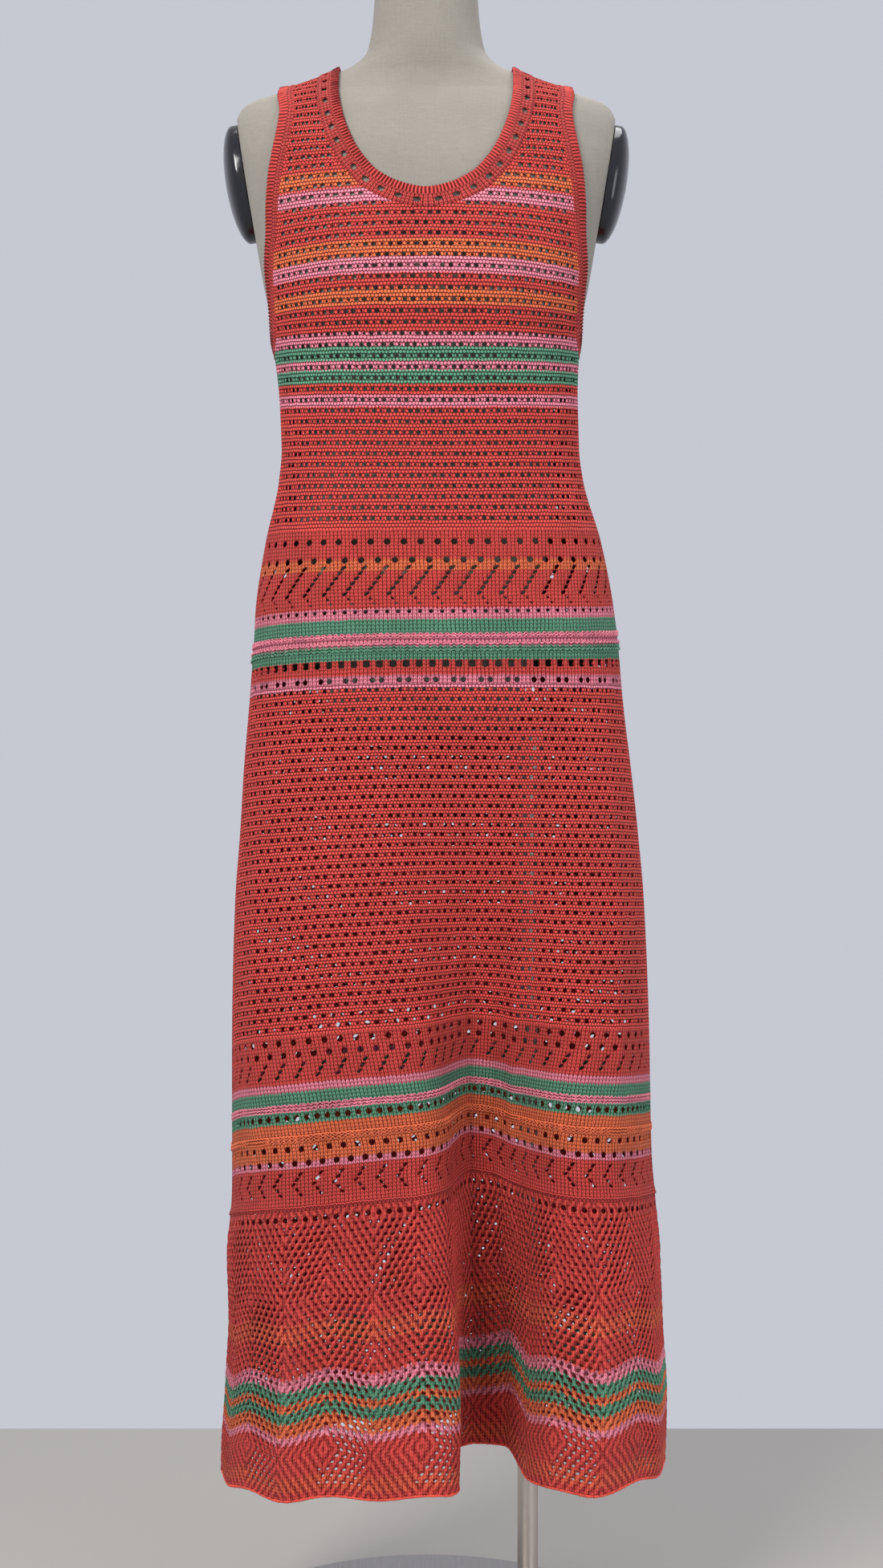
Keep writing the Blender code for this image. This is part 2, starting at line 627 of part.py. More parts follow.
def make_panel(name, side):
    """Front or back, from the shoulder seams to the flounce, inside its bands."""
    spacing = 0.033
    edge_off, neck_off = ARM_BAND["wide"] + SEAM, NECK_BAND["wide"] + SEAM
    foot = FLOUNCE_SEAM + SEAM
    armhole = {}
    for sign, path in arm_paths.items():
        shares = arm_shares(path, edge_off)
        half = shares[:STEPS["arm_half"] + 1] if side < 0 else shares[STEPS["arm_half"]:][::-1]
        armhole[sign] = [path.place(share, edge_off) for share in half]
    count = STEPS["neck_front"] if side < 0 else STEPS["neck_back"]
    low, high = neck_ends(neck_off, side)
    neck = [neck_path.place(low + (high - low) * i / count, neck_off) for i in range(count + 1)]
    if side > 0:
        neck = neck[::-1]
    underarm = armhole[1][0]
    seam_rows = [foot + (underarm.z - 0.0145 - foot) * i / 20 for i in range(21)]
    steps = STEPS["seam_front"] if side < 0 else STEPS["seam_back"]
    outline = [(i / steps, foot) for i in range(steps + 1)]
    outline += [(1.0, row) for row in seam_rows[1:-1]]

    def edge_spots(points, across):
        spots = [panel_spot(point, side) for point in points]
        spots[0] = (across, spots[0][1])
        spots[-1] = (across, spots[-1][1])
        return spots

    right_arm = edge_spots(armhole[1], 1.0)
    left_arm = edge_spots(armhole[-1], 0.0)
    neckline = [panel_spot(point, side) for point in neck]
    neckline[0] = (0.0, neckline[0][1])
    neckline[-1] = (1.0, neckline[-1][1])
    outline += right_arm
    for t in (0.25, 0.5, 0.75):
        outline.append((1.0, right_arm[-1][1] * (1 - t) + neckline[-1][1] * t))
    outline += neckline[::-1]
    for t in (0.25, 0.5, 0.75):
        outline.append((0.0, neckline[0][1] * (1 - t) + left_arm[-1][1] * t))
    outline += left_arm[::-1]
    outline += [(0.0, row) for row in seam_rows[-2:0:-1]]

    holes = []
    for eyelets in EYELET_ROWS:
        length = ring_table(round(eyelets.z, 3), side)[1][-1]
        if side < 0:
            length *= 1 + FOLD_TAKES * band_share(eyelets.z)
        count = round(length / eyelets.pitch)
        holes += [diamond((i + 0.5) / count, eyelets.z, eyelets.wide, eyelets.tall,
                          eyelets.corners, length) for i in range(count)]

    rows = panel_rows(foot, 1.485, spacing)
    room = 0.42 * spacing
    lattice = []
    for row in rows:
        if row > 1.40:
            continue
        across_count = 22 if row < 0.75 else 18
        lattice += [((i / across_count, row), room) for i in range(1, across_count)]
    strap_rows = [1.415, 1.434, 1.449, 1.459, 1.4655, 1.471, 1.477, 1.483]
    lattice += [((i / 20, row), room / 3) for row in strap_rows for i in range(1, 20)]

    seam_spots = {(round(a, 6), round(r, 6)) for a, r in outline if a in (0.0, 1.0)}
    edge_points = dict(zip(map(tuple, right_arm + left_arm + neckline),
                           armhole[1] + armhole[-1] + neck))

    def place(across, row):
        if (across, row) in edge_points:
            point = edge_points[(across, row)]
            normal = slope(point).normalized()
        else:
            point, normal = cloth_place(across, row, side)
        if (round(across, 6), round(row, 6)) in seam_spots:
            point, normal = on_seam(point, normal, side)
        return point, normal, CLOTH + ridge_height(row)

    return cloth_wall(name, RED_KNIT, outline, holes, lattice, panel_flat(side), place)


def make_flounce(name, side):
    """Lace flounce of one side, from its seam to the scalloped hem."""
    across_count = STEPS["seam_front"] if side < 0 else STEPS["seam_back"]
    rows = [FLOUNCE_SEAM - (FLOUNCE_SEAM - HEM) * i / 7 for i in range(8)]
    grid = [[(i / across_count, row) for i in range(across_count + 1)] for row in rows]
    outline = grid[-1] + [row[-1] for row in grid[-2:0:-1]] + grid[0][::-1]
    outline += [row[0] for row in grid[1:-1]]
    lattice = [(spot, 0.004) for row in grid[1:-1] for spot in row[1:-1]]

    def flat(across, row):
        return across * (0.9 if side < 0 else 0.7), row

    def place(across, row):
        scallop = 0.0
        if row == rows[-1]:
            scallop = SCALLOP["deep"] * abs(math.sin(math.pi * SCALLOP["points"] * across))
        point, normal = cloth_place(across, row - scallop, side)
        if across in (0.0, 1.0):
            point, normal = on_seam(point, normal, side)
        thick = CLOTH + (0.0008 if row in (rows[0], rows[-1]) else 0.0)
        return point, normal, thick

    return cloth_wall(name, RED_KNIT, outline, [], lattice, flat, place)


def make_band(name, path, sizes, steps, share, eyelets, side):
    """A ribbed band along an edge, from one seam to the next."""
    wide = sizes["wide"]
    offs = [0.0, 0.0025, sizes["rib"], wide]
    length = path.length * abs(share(1.0, 0.0) - share(0.0, 0.0))
    outline = [(i / steps, 0.0) for i in range(steps + 1)] + [(1.0, off) for off in offs[1:-1]]
    outline += [(i / steps, wide) for i in range(steps, -1, -1)]
    outline += [(0.0, off) for off in offs[-2:0:-1]]
    lattice = [((i / steps, off), 0.002) for off in offs[1:-1] for i in range(1, steps)]
    holes = []
    if eyelets:
        count = round(length / eyelets.pitch)
        holes = [diamond((i + 0.5) / count, sizes["row"], eyelets.wide, eyelets.tall,
                         eyelets.corners, length) for i in range(count)]

    def place(along, off):
        point = path.place(share(along, off), off)
        normal = slope(point).normalized()
        if along in (0.0, 1.0) and side:
            point, normal = on_seam(point, normal, side)
        raised = sizes["raise"] if 0 < off < sizes["rib"] + SEAM else 0.0
        return point, normal, CLOTH + raised

    def flat(along, off):
        return along * length, off

    return cloth_wall(name, RIB_KNIT, outline, holes, lattice, flat, place)


def make_neck_bands():
    """Front and back halves of the openwork neck band."""
    for name, side in (("neck_band_front", -1), ("neck_band_back", 1)):
        def share(along, off, side=side):
            low, high = neck_ends(off, side)
            return low + (high - low) * along

        steps = STEPS["neck_front"] if side < 0 else STEPS["neck_back"]
        make_band(name, neck_path, NECK_BAND, steps, share, NECK_EYELETS, side)


def make_armhole_bands():
    """Ribbed bands round the armholes, seamed at the underarm."""
    steps = 2 * STEPS["arm_half"]
    for name, sign in (("armhole_band_left", -1), ("armhole_band_right", 1)):
        path = arm_paths[sign]

        def share(along, off, path=path):
            shares = arm_shares(path, off)
            parted = SEAM / 2 / path.length
            return min(max(shares[round(along * steps)], shares[0] + parted), shares[-1] - parted)

        make_band(name, path, ARM_BAND, steps, share, None, 0)


def make_torso():
    """The covered torso and neck, with flat faces for the arm plates."""
    around = 28
    heights = [row.z for row in FORM_SECTIONS] + [1.00, 1.207, 1.252]
    shell = bmesh.new()
    rings = []
    for z in sorted(heights):
        ring = []
        for i in range(around):
            angle = math.tau * i / around
            side = -1 if i > around / 2 else 1
            half_turn = angle if side > 0 else math.tau - angle
            ring.append(shell.verts.new(body_point(z, half_turn, side, False)))
        rings.append(ring)
    for low, high in zip(rings, rings[1:]):
        for i in range(around):
            j = (i + 1) % around
            shell.faces.new((low[i], low[j], high[j], high[i]))
    shell.faces.new(rings[0][::-1])
    shell.faces.new(rings[-1])
    rise = PLATE_TOP[1] - PLATE_FOOT[1]
    run = PLATE_TOP[0] - PLATE_FOOT[0]
    for sign in (-1, 1):
        cut = bmesh.ops.bisect_plane(
            shell, geom=shell.verts[:] + shell.edges[:] + shell.faces[:],
            plane_co=(sign * PLATE_TOP[0], 0, PLATE_TOP[1]),
            plane_no=(sign * rise, 0, -run), clear_outer=True)
        cut_edges = [item for item in cut["geom_cut"] if isinstance(item, bmesh.types.BMEdge)]
        bmesh.ops.edgenet_fill(shell, edges=cut_edges)
    bmesh.ops.recalc_face_normals(shell, faces=shell.faces)
    return finish_object("form_torso", shell, LINEN, sharp=50)


def turned(name, profile, segments, finish, scale=(1, 1, 1)):
    """A turned piece from its profile of radius and height, listed from the top down."""
    mesh = bpy.data.meshes.new(name)
    ring = profile[0] == profile[-1]
    points = profile[:-1] if ring else profile
    edges = [(i, (i + 1) % len(points)) for i in range(len(points) if ring else len(points) - 1)]
    mesh.from_pydata([(radius, 0, z) for radius, z in points], edges, [])
    thing = finish_object(name, mesh, finish)
    thing.scale = scale
    screw = thing.modifiers.new("Turn", "SCREW")
    screw.steps = screw.render_steps = segments
    screw.use_merge_vertices = True
    screw.merge_threshold = 0.00005
    screw.use_smooth_shade = True
    return thing


def make_arm_plates():
    """Glossy domes on the torso's flat sides."""
    rise = PLATE_TOP[1] - PLATE_FOOT[1]
    run = PLATE_TOP[0] - PLATE_FOOT[0]
    lean = math.atan2(run, rise)
    centre_x = (PLATE_TOP[0] + PLATE_FOOT[0]) / 2
    centre_z = (PLATE_TOP[1] + PLATE_FOOT[1]) / 2
    tall, rim, bulge = PLATE["half_tall"], PLATE["rim"], PLATE["bulge"]
    dome = [(0.0, bulge)]
    for i in range(1, 6):
        turn = math.radians(18 * i)
        dome.append((tall * math.sin(turn), rim + (bulge - rim) * math.cos(turn)))
    profile = dome + [(tall, SEAM), (0.0, SEAM)]
    for name, sign in (("arm_plate_left", -1), ("arm_plate_right", 1)):
        plate = turned(name, profile, 24, BLACK_PLASTIC,
                       scale=(1, PLATE["half_deep"] / tall, 1))
        plate.location = (sign * centre_x, 0, centre_z)
        plate.rotation_euler = (0, sign * (math.pi / 2 + lean), 0)


def make_neck_cap():
    """Plain cap on the neck, just over the photo's edge."""
    top = FORM_SECTIONS[-1].z + SEAM
    wide, deep, thick = NECK_CAP["radius_x"], NECK_CAP["radius_y"], NECK_CAP["thick"]
    profile = [(0, thick), (wide - 0.003, thick), (wide, thick - 0.003), (wide, 0), (0, 0)]
    cap = turned("neck_cap", profile, 28, BLACK_PLASTIC, scale=(1, deep / wide, 1))
    cap.location = (0, 0, top)


def make_stand():
    """Round base, flange, pole and the socket under the torso."""
    place = (POLE["x"], POLE["y"], 0)
    bore = POLE["radius"] + SEAM
    plate_z = FORM_SECTIONS[0].z - SEAM
    edge, thick, wide = BASE["edge"], BASE["thick"], BASE["radius"]
    turned("stand_base", [(0, thick), (wide - edge, thick), (wide, thick - edge),
                          (wide, 0), (0, 0)], 40, STEEL)
    low = thick + SEAM
    flange = turned("stand_flange", [
        (bore, low + FLANGE["tall"]), (bore + 0.005, low + FLANGE["tall"]),
        (bore + 0.007, low + FLANGE["tall"] - 0.002), (FLANGE["radius"], low + 0.003),
        (FLANGE["radius"], low), (bore, low), (bore, low + FLANGE["tall"])], 20, STEEL)
    flange.location = place
    pole = turned("stand_pole", [(0, POLE["top"]), (POLE["radius"], POLE["top"]),
                                 (POLE["radius"], low), (0, low)], 20, STEEL)
    pole.location = place
    roof = plate_z - SOCKET["roof"]
    outer = SOCKET["radius"]
    socket = turned("pole_socket", [
        (0, plate_z), (outer + 0.010, plate_z), (outer + 0.010, plate_z - 0.004),
        (outer, plate_z - 0.006), (outer, SOCKET["foot"]), (bore, SOCKET["foot"]),
        (bore, roof), (0, roof)], 20, STEEL)
    socket.location = place


def clear_scene():
    for thing in list(bpy.data.objects):
        bpy.data.objects.remove(thing, do_unlink=True)


clear_scene()
parts = bpy.data.collections.new("knit dress on a dress form")
bpy.context.scene.collection.children.link(parts)

make_torso()
make_arm_plates()
make_neck_cap()
make_stand()
make_panel("front_panel", -1)
make_panel("back_panel", 1)
make_flounce("flounce_front", -1)
make_flounce("flounce_back", 1)
make_neck_bands()
make_armhole_bands()
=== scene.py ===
import math
from functools import partial

import bmesh
import bpy
import numpy as np
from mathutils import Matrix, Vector


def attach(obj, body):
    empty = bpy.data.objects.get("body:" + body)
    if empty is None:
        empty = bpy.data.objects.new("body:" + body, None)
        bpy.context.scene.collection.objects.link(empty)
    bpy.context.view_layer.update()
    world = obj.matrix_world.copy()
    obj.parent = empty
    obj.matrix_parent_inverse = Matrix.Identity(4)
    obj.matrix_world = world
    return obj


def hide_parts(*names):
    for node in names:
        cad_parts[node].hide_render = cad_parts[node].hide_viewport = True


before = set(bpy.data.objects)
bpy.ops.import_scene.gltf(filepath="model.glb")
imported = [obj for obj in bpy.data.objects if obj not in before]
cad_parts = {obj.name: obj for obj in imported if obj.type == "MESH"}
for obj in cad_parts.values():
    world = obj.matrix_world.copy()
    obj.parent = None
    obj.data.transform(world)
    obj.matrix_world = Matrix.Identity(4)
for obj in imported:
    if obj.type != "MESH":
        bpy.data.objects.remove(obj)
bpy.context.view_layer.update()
print("frame:", len(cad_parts), "nodes")

# the body and the way the cloth hangs on it, as the solids have it

dress = {
    "clearance": 0.0018,      # from the form's cover to the cloth's inner side
    "cloth": 0.0020,          # thickness of the knit
    "oval": 2.2,              # exponent of the body's sections, 2 is an ellipse
    "armholeFoot": 1.2332,
    "armholeHead": 1.4709,
    "seam": 0.4370,           # row of the flounce's seam
    "hem": 0.1692,            # row of the hem
    "foldAt": 0.56,           # share of the front's width at its deep fold
    "foldWide": 0.07,
    "foldTakes": 0.3,         # the fold adds this share to the lower band's length
    "outer": 0.0030,          # the drawn knit's outer side, off the surface it lies on
    "drawn": 0.0013,          # and its thickness, which leaves the gaps open to the side
    "dip": 0.0004,            # how much deeper the rim of each gap lies
    "tuck": 0.0009,           # how much deeper a panel's end lies under its straps
    "tuckOver": 0.0015,       # and the height over which it gets there
}

# height, half width, depth to the front, depth to the back
formRows = [
    (0.8650, 0.150, 0.088, 0.100), (0.8720, 0.154, 0.093, 0.104),
    (0.9000, 0.158, 0.100, 0.110), (0.9600, 0.156, 0.100, 0.111),
    (1.0400, 0.140, 0.092, 0.098), (1.1000, 0.124, 0.086, 0.085),
    (1.1400, 0.119, 0.084, 0.080), (1.1800, 0.124, 0.088, 0.082),
    (1.2332, 0.1440, 0.102, 0.090), (1.2700, 0.1515, 0.109, 0.094),
    (1.3020, 0.160, 0.110, 0.097), (1.3320, 0.1665, 0.107, 0.099),
    (1.3600, 0.176, 0.101, 0.100), (1.3900, 0.184, 0.094, 0.098),
    (1.4100, 0.187, 0.088, 0.094), (1.4300, 0.186, 0.080, 0.088),
    (1.4430, 0.183, 0.074, 0.081), (1.4550, 0.178, 0.066, 0.073),
    (1.4605, 0.172, 0.0615, 0.067), (1.4648, 0.160, 0.058, 0.062),
    (1.4705, 0.140, 0.0555, 0.058), (1.4768, 0.120, 0.0535, 0.055),
    (1.4840, 0.100, 0.0525, 0.054), (1.4915, 0.080, 0.0535, 0.054),
    (1.5000, 0.066, 0.0545, 0.0545), (1.5100, 0.0575, 0.055, 0.055),
    (1.5350, 0.052, 0.054, 0.054), (1.5660, 0.0495, 0.053, 0.053),
    (1.6060, 0.049, 0.0525, 0.0525),
]
bustSizes = {"out": 0.011, "apart": 0.072, "z": 1.265, "wide": 0.050,
             "above": 0.060, "below": 0.055, "hang": 0.09}

# the cloth below the armholes: height, middle, half width, depth to the front and back
skirtRows = [
    (0.1300, 0.0154, 0.2133, 0.128, 0.130), (0.1783, 0.0166, 0.2137, 0.128, 0.130),
    (0.2399, 0.0189, 0.2121, 0.126, 0.129), (0.3015, 0.0185, 0.2087, 0.125, 0.127),
    (0.3631, 0.0166, 0.2083, 0.124, 0.126), (0.4093, 0.0166, 0.2044, 0.123, 0.125),
    (0.4555, 0.0150, 0.2021, 0.122, 0.122), (0.5787, 0.0137, 0.2008, 0.125, 0.122),
    (0.7019, 0.0127, 0.1967, 0.124, 0.121), (0.7635, 0.0123, 0.1917, 0.123, 0.121),
    (0.8251, 0.0108, 0.1863, 0.122, 0.121), (0.8867, 0.0096, 0.1798, 0.120, 0.121),
    (0.9483, 0.0092, 0.1748, 0.119, 0.121), (0.9791, 0.0081, 0.1721, 0.116, 0.118),
    (1.0407, 0.0069, 0.1617, 0.108, 0.108), (1.1023, 0.0046, 0.1463, 0.102, 0.098),
    (1.1331, 0.0039, 0.1432, 0.100, 0.094), (1.1793, 0.0023, 0.1436, 0.1010, 0.0925),
    (1.2332, 0.0000, 0.1475, 0.1055, 0.0935),
]

# the front's folds seen from above: share of the width, x and y at the lower band, at the hem
planRows = [
    (0.000, -0.186, 0.000, -0.198, 0.000), (0.079, -0.174, -0.050, -0.184, -0.055),
    (0.149, -0.148, -0.088, -0.156, -0.095), (0.221, -0.106, -0.112, -0.116, -0.125),
    (0.284, -0.066, -0.118, -0.071, -0.122), (0.359, -0.018, -0.118, -0.018, -0.135),
    (0.405, 0.007, -0.105, 0.016, -0.128), (0.437, 0.017, -0.088, 0.027, -0.105),
    (0.489, 0.024, -0.066, 0.024, -0.055), (0.537, 0.033, -0.045, 0.028, -0.010),
    (0.568, 0.044, -0.030, 0.046, 0.008), (0.609, 0.066, -0.030, 0.078, 0.000),
    (0.656, 0.086, -0.050, 0.090, -0.035), (0.701, 0.100, -0.068, 0.099, -0.075),
    (0.748, 0.118, -0.088, 0.117, -0.108), (0.795, 0.145, -0.102, 0.149, -0.118),
    (0.843, 0.171, -0.092, 0.180, -0.095), (0.889, 0.191, -0.070, 0.201, -0.070),
    (0.934, 0.205, -0.042, 0.218, -0.045), (1.000, 0.217, 0.000, 0.229, 0.000),
]
# the back's soft folds: share of the width, width, depth at the hem
backFolds = [(0.20, 0.055, 0.045), (0.46, 0.060, 0.055), (0.82, 0.045, 0.032)]
# how far a knitted row rises at the left seam, at the right seam and in the deep fold
liftRows = [
    (0.1650, -0.0167, -0.0067, 0.0115), (0.2800, -0.0369, -0.0179, 0.0010),
    (0.4300, -0.0414, -0.0199, 0.0085), (0.5400, -0.0374, -0.0166, 0.0060),
    (0.7000, -0.0220, -0.0080, 0.0000), (0.8600, -0.0097, -0.0036, 0.0000),
    (0.9600, -0.0043, 0.0102, 0.0000), (1.0300, 0.0040, 0.0100, 0.0000),
    (1.1600, 0.0145, 0.0145, 0.0000), (1.2000, 0.0145, 0.0145, 0.0000),
    (1.3100, 0.0000, 0.0000, 0.0000),
]
# the armhole seen from the side: height, y at its front and its back
armholeRows = [
    (1.2360, -0.011, 0.011), (1.2430, -0.020, 0.020), (1.2550, -0.028, 0.027),
    (1.2750, -0.036, 0.034), (1.2925, -0.0425, 0.039), (1.3210, -0.0535, 0.047),
    (1.3470, -0.059, 0.052), (1.3811, -0.063, 0.055), (1.4131, -0.062, 0.055),
    (1.4387, -0.055, 0.050), (1.4560, -0.044, 0.042), (1.4660, -0.030, 0.030),
    (1.4700, -0.0135, 0.0135),
]
# right half of the neckline from the shoulder to the middle: distance from it, height
neckFront = [
    (0.0804, 1.4890), (0.0806, 1.4840), (0.0811, 1.4652), (0.0800, 1.4508), (0.0761, 1.4320),
    (0.0702, 1.4145), (0.0616, 1.3965), (0.0488, 1.3792), (0.0391, 1.3708), (0.0228, 1.3621),
    (0.0000, 1.3569),
]
neckBack = [(0.0800, 1.4885), (0.0780, 1.4790), (0.0690, 1.4640), (0.0500, 1.4500),
            (0.0250, 1.4430), (0.0000, 1.4410)]
neckShoulder = (0.0803, 1.4914)


def curveThrough(xs, ys):
    # a monotone cubic, so a table's column never overshoots
    xs, ys = np.array(xs, float), np.array(ys, float)
    steps = np.diff(xs)
    slopes = np.diff(ys) / steps
    same = slopes[:-1] * slopes[1:] > 0
    before, after = 2 * steps[1:] + steps[:-1], steps[1:] + 2 * steps[:-1]
    low, high = np.where(same, slopes[:-1], 1), np.where(same, slopes[1:], 1)
    inner = np.where(same, (before + after) / (before / low + after / high), 0)
    tangents = np.concatenate([slopes[:1], inner, slopes[-1:]])

    def value(x):
        x = np.clip(x, xs[0], xs[-1])
        i = np.clip(np.searchsorted(xs, x, side="right") - 1, 0, len(steps) - 1)
        t = (x - xs[i]) / steps[i]
        return ((1 + 2 * t) * (1 - t) ** 2 * ys[i] + t * (1 - t) ** 2 * steps[i] * tangents[i]
                + t * t * (3 - 2 * t) * ys[i + 1] + t * t * (t - 1) * steps[i] * tangents[i + 1])

    return value


def columnCurves(rows):
    columns = list(zip(*rows))
    return [curveThrough(columns[0], column) for column in columns[1:]]


formHalf, formFront, formBack = columnCurves(formRows)
skirtMiddle, skirtHalf, skirtFront, skirtBack = columnCurves(skirtRows)
bandX, bandY, hemX, hemY = columnCurves(planRows)
liftLeft, liftRight, liftFold = columnCurves(liftRows)
bandShare = curveThrough([0.49, 0.56, 0.72, 0.88], [1.0, 0.75, 0.35, 0.0])
hemShare = curveThrough([0.19, 0.28, 0.42], [1.0, 0.75, 0.0])
backFoldShare = curveThrough([0.15, 0.50, 0.85], [1.0, 0.55, 0.0])


def bust(x, z, covered=True):
    apart = np.abs(x) - bustSizes["apart"]
    apart = np.maximum(apart, 0) if covered else apart
    below = bustSizes["hang" if covered else "below"]
    height = np.where(z > bustSizes["z"], bustSizes["above"], below)
    return bustSizes["out"] * np.exp(-(apart / bustSizes["wide"]) ** 2
                                     - ((z - bustSizes["z"]) / height) ** 2)


def bodySizes(z, covered=True):
    if not covered:
        return 0 * z, formHalf(z), formFront(z), formBack(z)
    low = z < dress["armholeFoot"]
    grow = dress["clearance"] + dress["cloth"]
    return (np.where(low, skirtMiddle(z), 0),
            np.where(low, skirtHalf(z) - grow, formHalf(z)),
            np.where(low, skirtFront(z) - grow, formFront(z)),
            np.where(low, skirtBack(z) - grow, formBack(z)))


def bodyPoint(z, angle, side, covered=True):
    middle, half, front, back = bodySizes(z, covered)
    share = 2 / dress["oval"]
    x = middle + half * np.sign(np.cos(angle)) * np.abs(np.cos(angle)) ** share
    deep = np.abs(np.sin(angle)) ** share
    y = np.where(side < 0, -(front + bust(x, z, covered)) * deep, back * deep)
    return np.stack([x, y, z + 0 * x], axis=-1)


def outside(points):
    # zero on the surface that the upper dress follows, positive outside it
    x, y, z = points.T
    middle, half, front, back = bodySizes(z)
    power = dress["oval"]
    rim = np.maximum(1 - np.minimum(np.abs(x - middle) / half, 1) ** power, 0) ** (1 / power)
    ahead = np.minimum(y + bust(x, z) * rim, 0)
    deep = np.where(y < 0, np.abs(ahead) / front, np.abs(y) / back)
    return (np.abs((x - middle) / half) ** power + deep ** power) ** (1 / power) - 1


def slopeOf(points):
    step = 0.0004
    changes = []
    for axis in range(3):
        offset = np.zeros(3)
        offset[axis] = step
        changes.append((outside(points + offset) - outside(points - offset)) / (2 * step))
    return np.stack(changes, axis=-1)


def unit(vectors):
    return vectors / np.maximum(np.linalg.norm(vectors, axis=-1, keepdims=True), 1e-12)


def runningLength(points):
    steps = np.linalg.norm(np.diff(points, axis=0), axis=1)
    return np.concatenate([[0], np.cumsum(steps)])


def readOff(points, lengths, spots):
    # the points of a curve at the given lengths along it
    return np.stack([np.interp(spots, lengths, points[:, axis]) for axis in range(3)], -1)


def ontoBody(points):
    # a few Newton steps along the slope end on the surface
    for _ in range(6):
        gradient = slopeOf(points)
        square = np.sum(gradient ** 2, axis=-1)
        points = points - gradient * (outside(points) / square)[:, None]
    return points


halves = {-1: "front", 1: "back"}
ringLevels = np.linspace(0.12, 1.62, 751)
ringShares = np.linspace(0, 1, 201)
ringTables = {}               # the angles at even steps along each half ring, and its length
for side in halves:
    angles = np.pi * (1 - np.linspace(0, 1, 161))
    spread = bodyPoint(ringLevels[:, None] + 0 * angles, angles + 0 * ringLevels[:, None], side)
    lengths = np.cumsum(np.linalg.norm(np.diff(spread, axis=1), axis=2), axis=1)
    lengths = np.concatenate([np.zeros((len(lengths), 1)), lengths], axis=1)
    table = [np.interp(ringShares * row[-1], row, angles) for row in lengths]
    ringTables[side] = (np.array(table), lengths[:, -1])


def ringAngle(across, z, side):
    table = ringTables[side][0]
    down = np.clip((z - ringLevels[0]) / (ringLevels[1] - ringLevels[0]), 0, len(table) - 1.001)
    along = np.clip(across, 0, 1) * (len(ringShares) - 1.0001)
    i, j = down.astype(int), along.astype(int)
    s, t = down - i, along - j
    return ((table[i, j] * (1 - t) + table[i, j + 1] * t) * (1 - s)
            + (table[i + 1, j] * (1 - t) + table[i + 1, j + 1] * t) * s)


def rowLength(row, side):
    length = float(np.interp(row, ringLevels, ringTables[side][1]))
    return length * (1 + dress["foldTakes"] * float(bandShare(row)) if side < 0 else 1)


wave = {"count": {-1: 8, 1: 6}, "high": 0.0045, "top": 0.40, "full": 0.29, "atHem": 0.5}


def rowWave(across, row, side):
    # the zigzag lace makes the flounce's rows rise and fall
    amount = np.clip((wave["top"] - row) / (wave["top"] - wave["full"]), 0, 1)
    amount = amount * (1 - (1 - wave["atHem"]) * np.clip((0.21 - row) / 0.03, 0, 1))
    return wave["high"] * amount * np.cos(2 * np.pi * wave["count"][side] * across)


def foldSpan(xs, column):
    # -1 at the left end of a plan's curve, 1 at its right end
    left, right = planRows[0][column], planRows[-1][column]
    return 2 * (xs - left) / (right - left) - 1


def clothBase(across, row, side):
    # the surface that the cloth lies on, at a share of the width and a knitted row
    edge = np.where(across < 0.5, liftLeft(row), liftRight(row))
    rise = edge * (2 * across - 1) ** 2
    rise = rise + liftFold(row) * np.exp(-((across - dress["foldAt"]) / dress["foldWide"]) ** 2)
    z = row + rise + rowWave(across, row, side)
    point = bodyPoint(z, ringAngle(across, z, side), side)
    if side > 0:
        for at, wide, deep in backFolds:
            trough = np.exp(-((across - at) / wide) ** 2)
            point[..., 1] -= deep * backFoldShare(row) * trough
        return point
    band, hem = bandShare(row), hemShare(row)
    middle, half, _, _ = bodySizes(z)
    span = foldSpan(bandX(across), 1) * (1 - hem) + foldSpan(hemX(across), 3) * hem
    deep = bandY(across) * (1 - hem) + hemY(across) * hem
    ring = (point[..., 0] - middle) / half
    point[..., 0] = middle + half * (ring * (1 - band) + span * band)
    point[..., 1] = point[..., 1] * (1 - band) + deep * band
    return point


def smoothLoop(points, count, steps=24):
    # evenly spaced points of a smooth closed curve through the given ones, and its length
    size = len(points)
    t = (np.arange(steps) / steps)[:, None]
    fine = []
    for i in range(size):
        before, start, end, after = (points[(i + k) % size] for k in (-1, 0, 1, 2))
        fine.append(0.5 * (2 * start + (end - before) * t
                           + (2 * before - 5 * start + 4 * end - after) * t * t
                           + (3 * start - before - 3 * end + after) * t ** 3))
    fine = np.concatenate(fine + [points[:1]])
    lengths = runningLength(fine)
    even = lengths[-1] * np.arange(count) / count
    return ontoBody(readOff(fine, lengths, even)), lengths[-1]


class EdgePath:
    # a strip along a closed edge, measured along it and away from it
    def __init__(self, edge, count, away):
        self.points, self.length = smoothLoop(edge, count)
        along = np.roll(self.points, -1, axis=0) - np.roll(self.points, 1, axis=0)
        self.away = unit(np.cross(along, slopeOf(self.points))) * away
        self.count = count

    def place(self, along, off):
        spot = (along % 1.0) * self.count
        i = spot.astype(int) % self.count
        t = (spot - spot.astype(int))[:, None]
        j = (i + 1) % self.count
        point = self.points[i] * (1 - t) + self.points[j] * t
        out = unit(self.away[i] * (1 - t) + self.away[j] * t)
        half = np.asarray(off)[..., None] / 2 + 0 * t
        halfWay = ontoBody(point + out * half)
        return ontoBody(halfWay + unit(halfWay - point + 1e-9) * half)


def armholeEdge(sign):
    def place(z, y):
        _, half, front, back = bodySizes(np.array([z]))
        deep = front if y < 0 else back
        power = dress["oval"]
        x = half[0] * (1 - min(abs(y) / deep[0], 1) ** power) ** (1 / power)
        return (sign * x, y, z)

    spots = [place(dress["armholeFoot"], 0)] + [place(z, front) for z, front, _ in armholeRows]
    spots += [place(dress["armholeHead"], 0)]
    spots += [place(z, back) for z, _, back in reversed(armholeRows)]
    return np.array(spots)


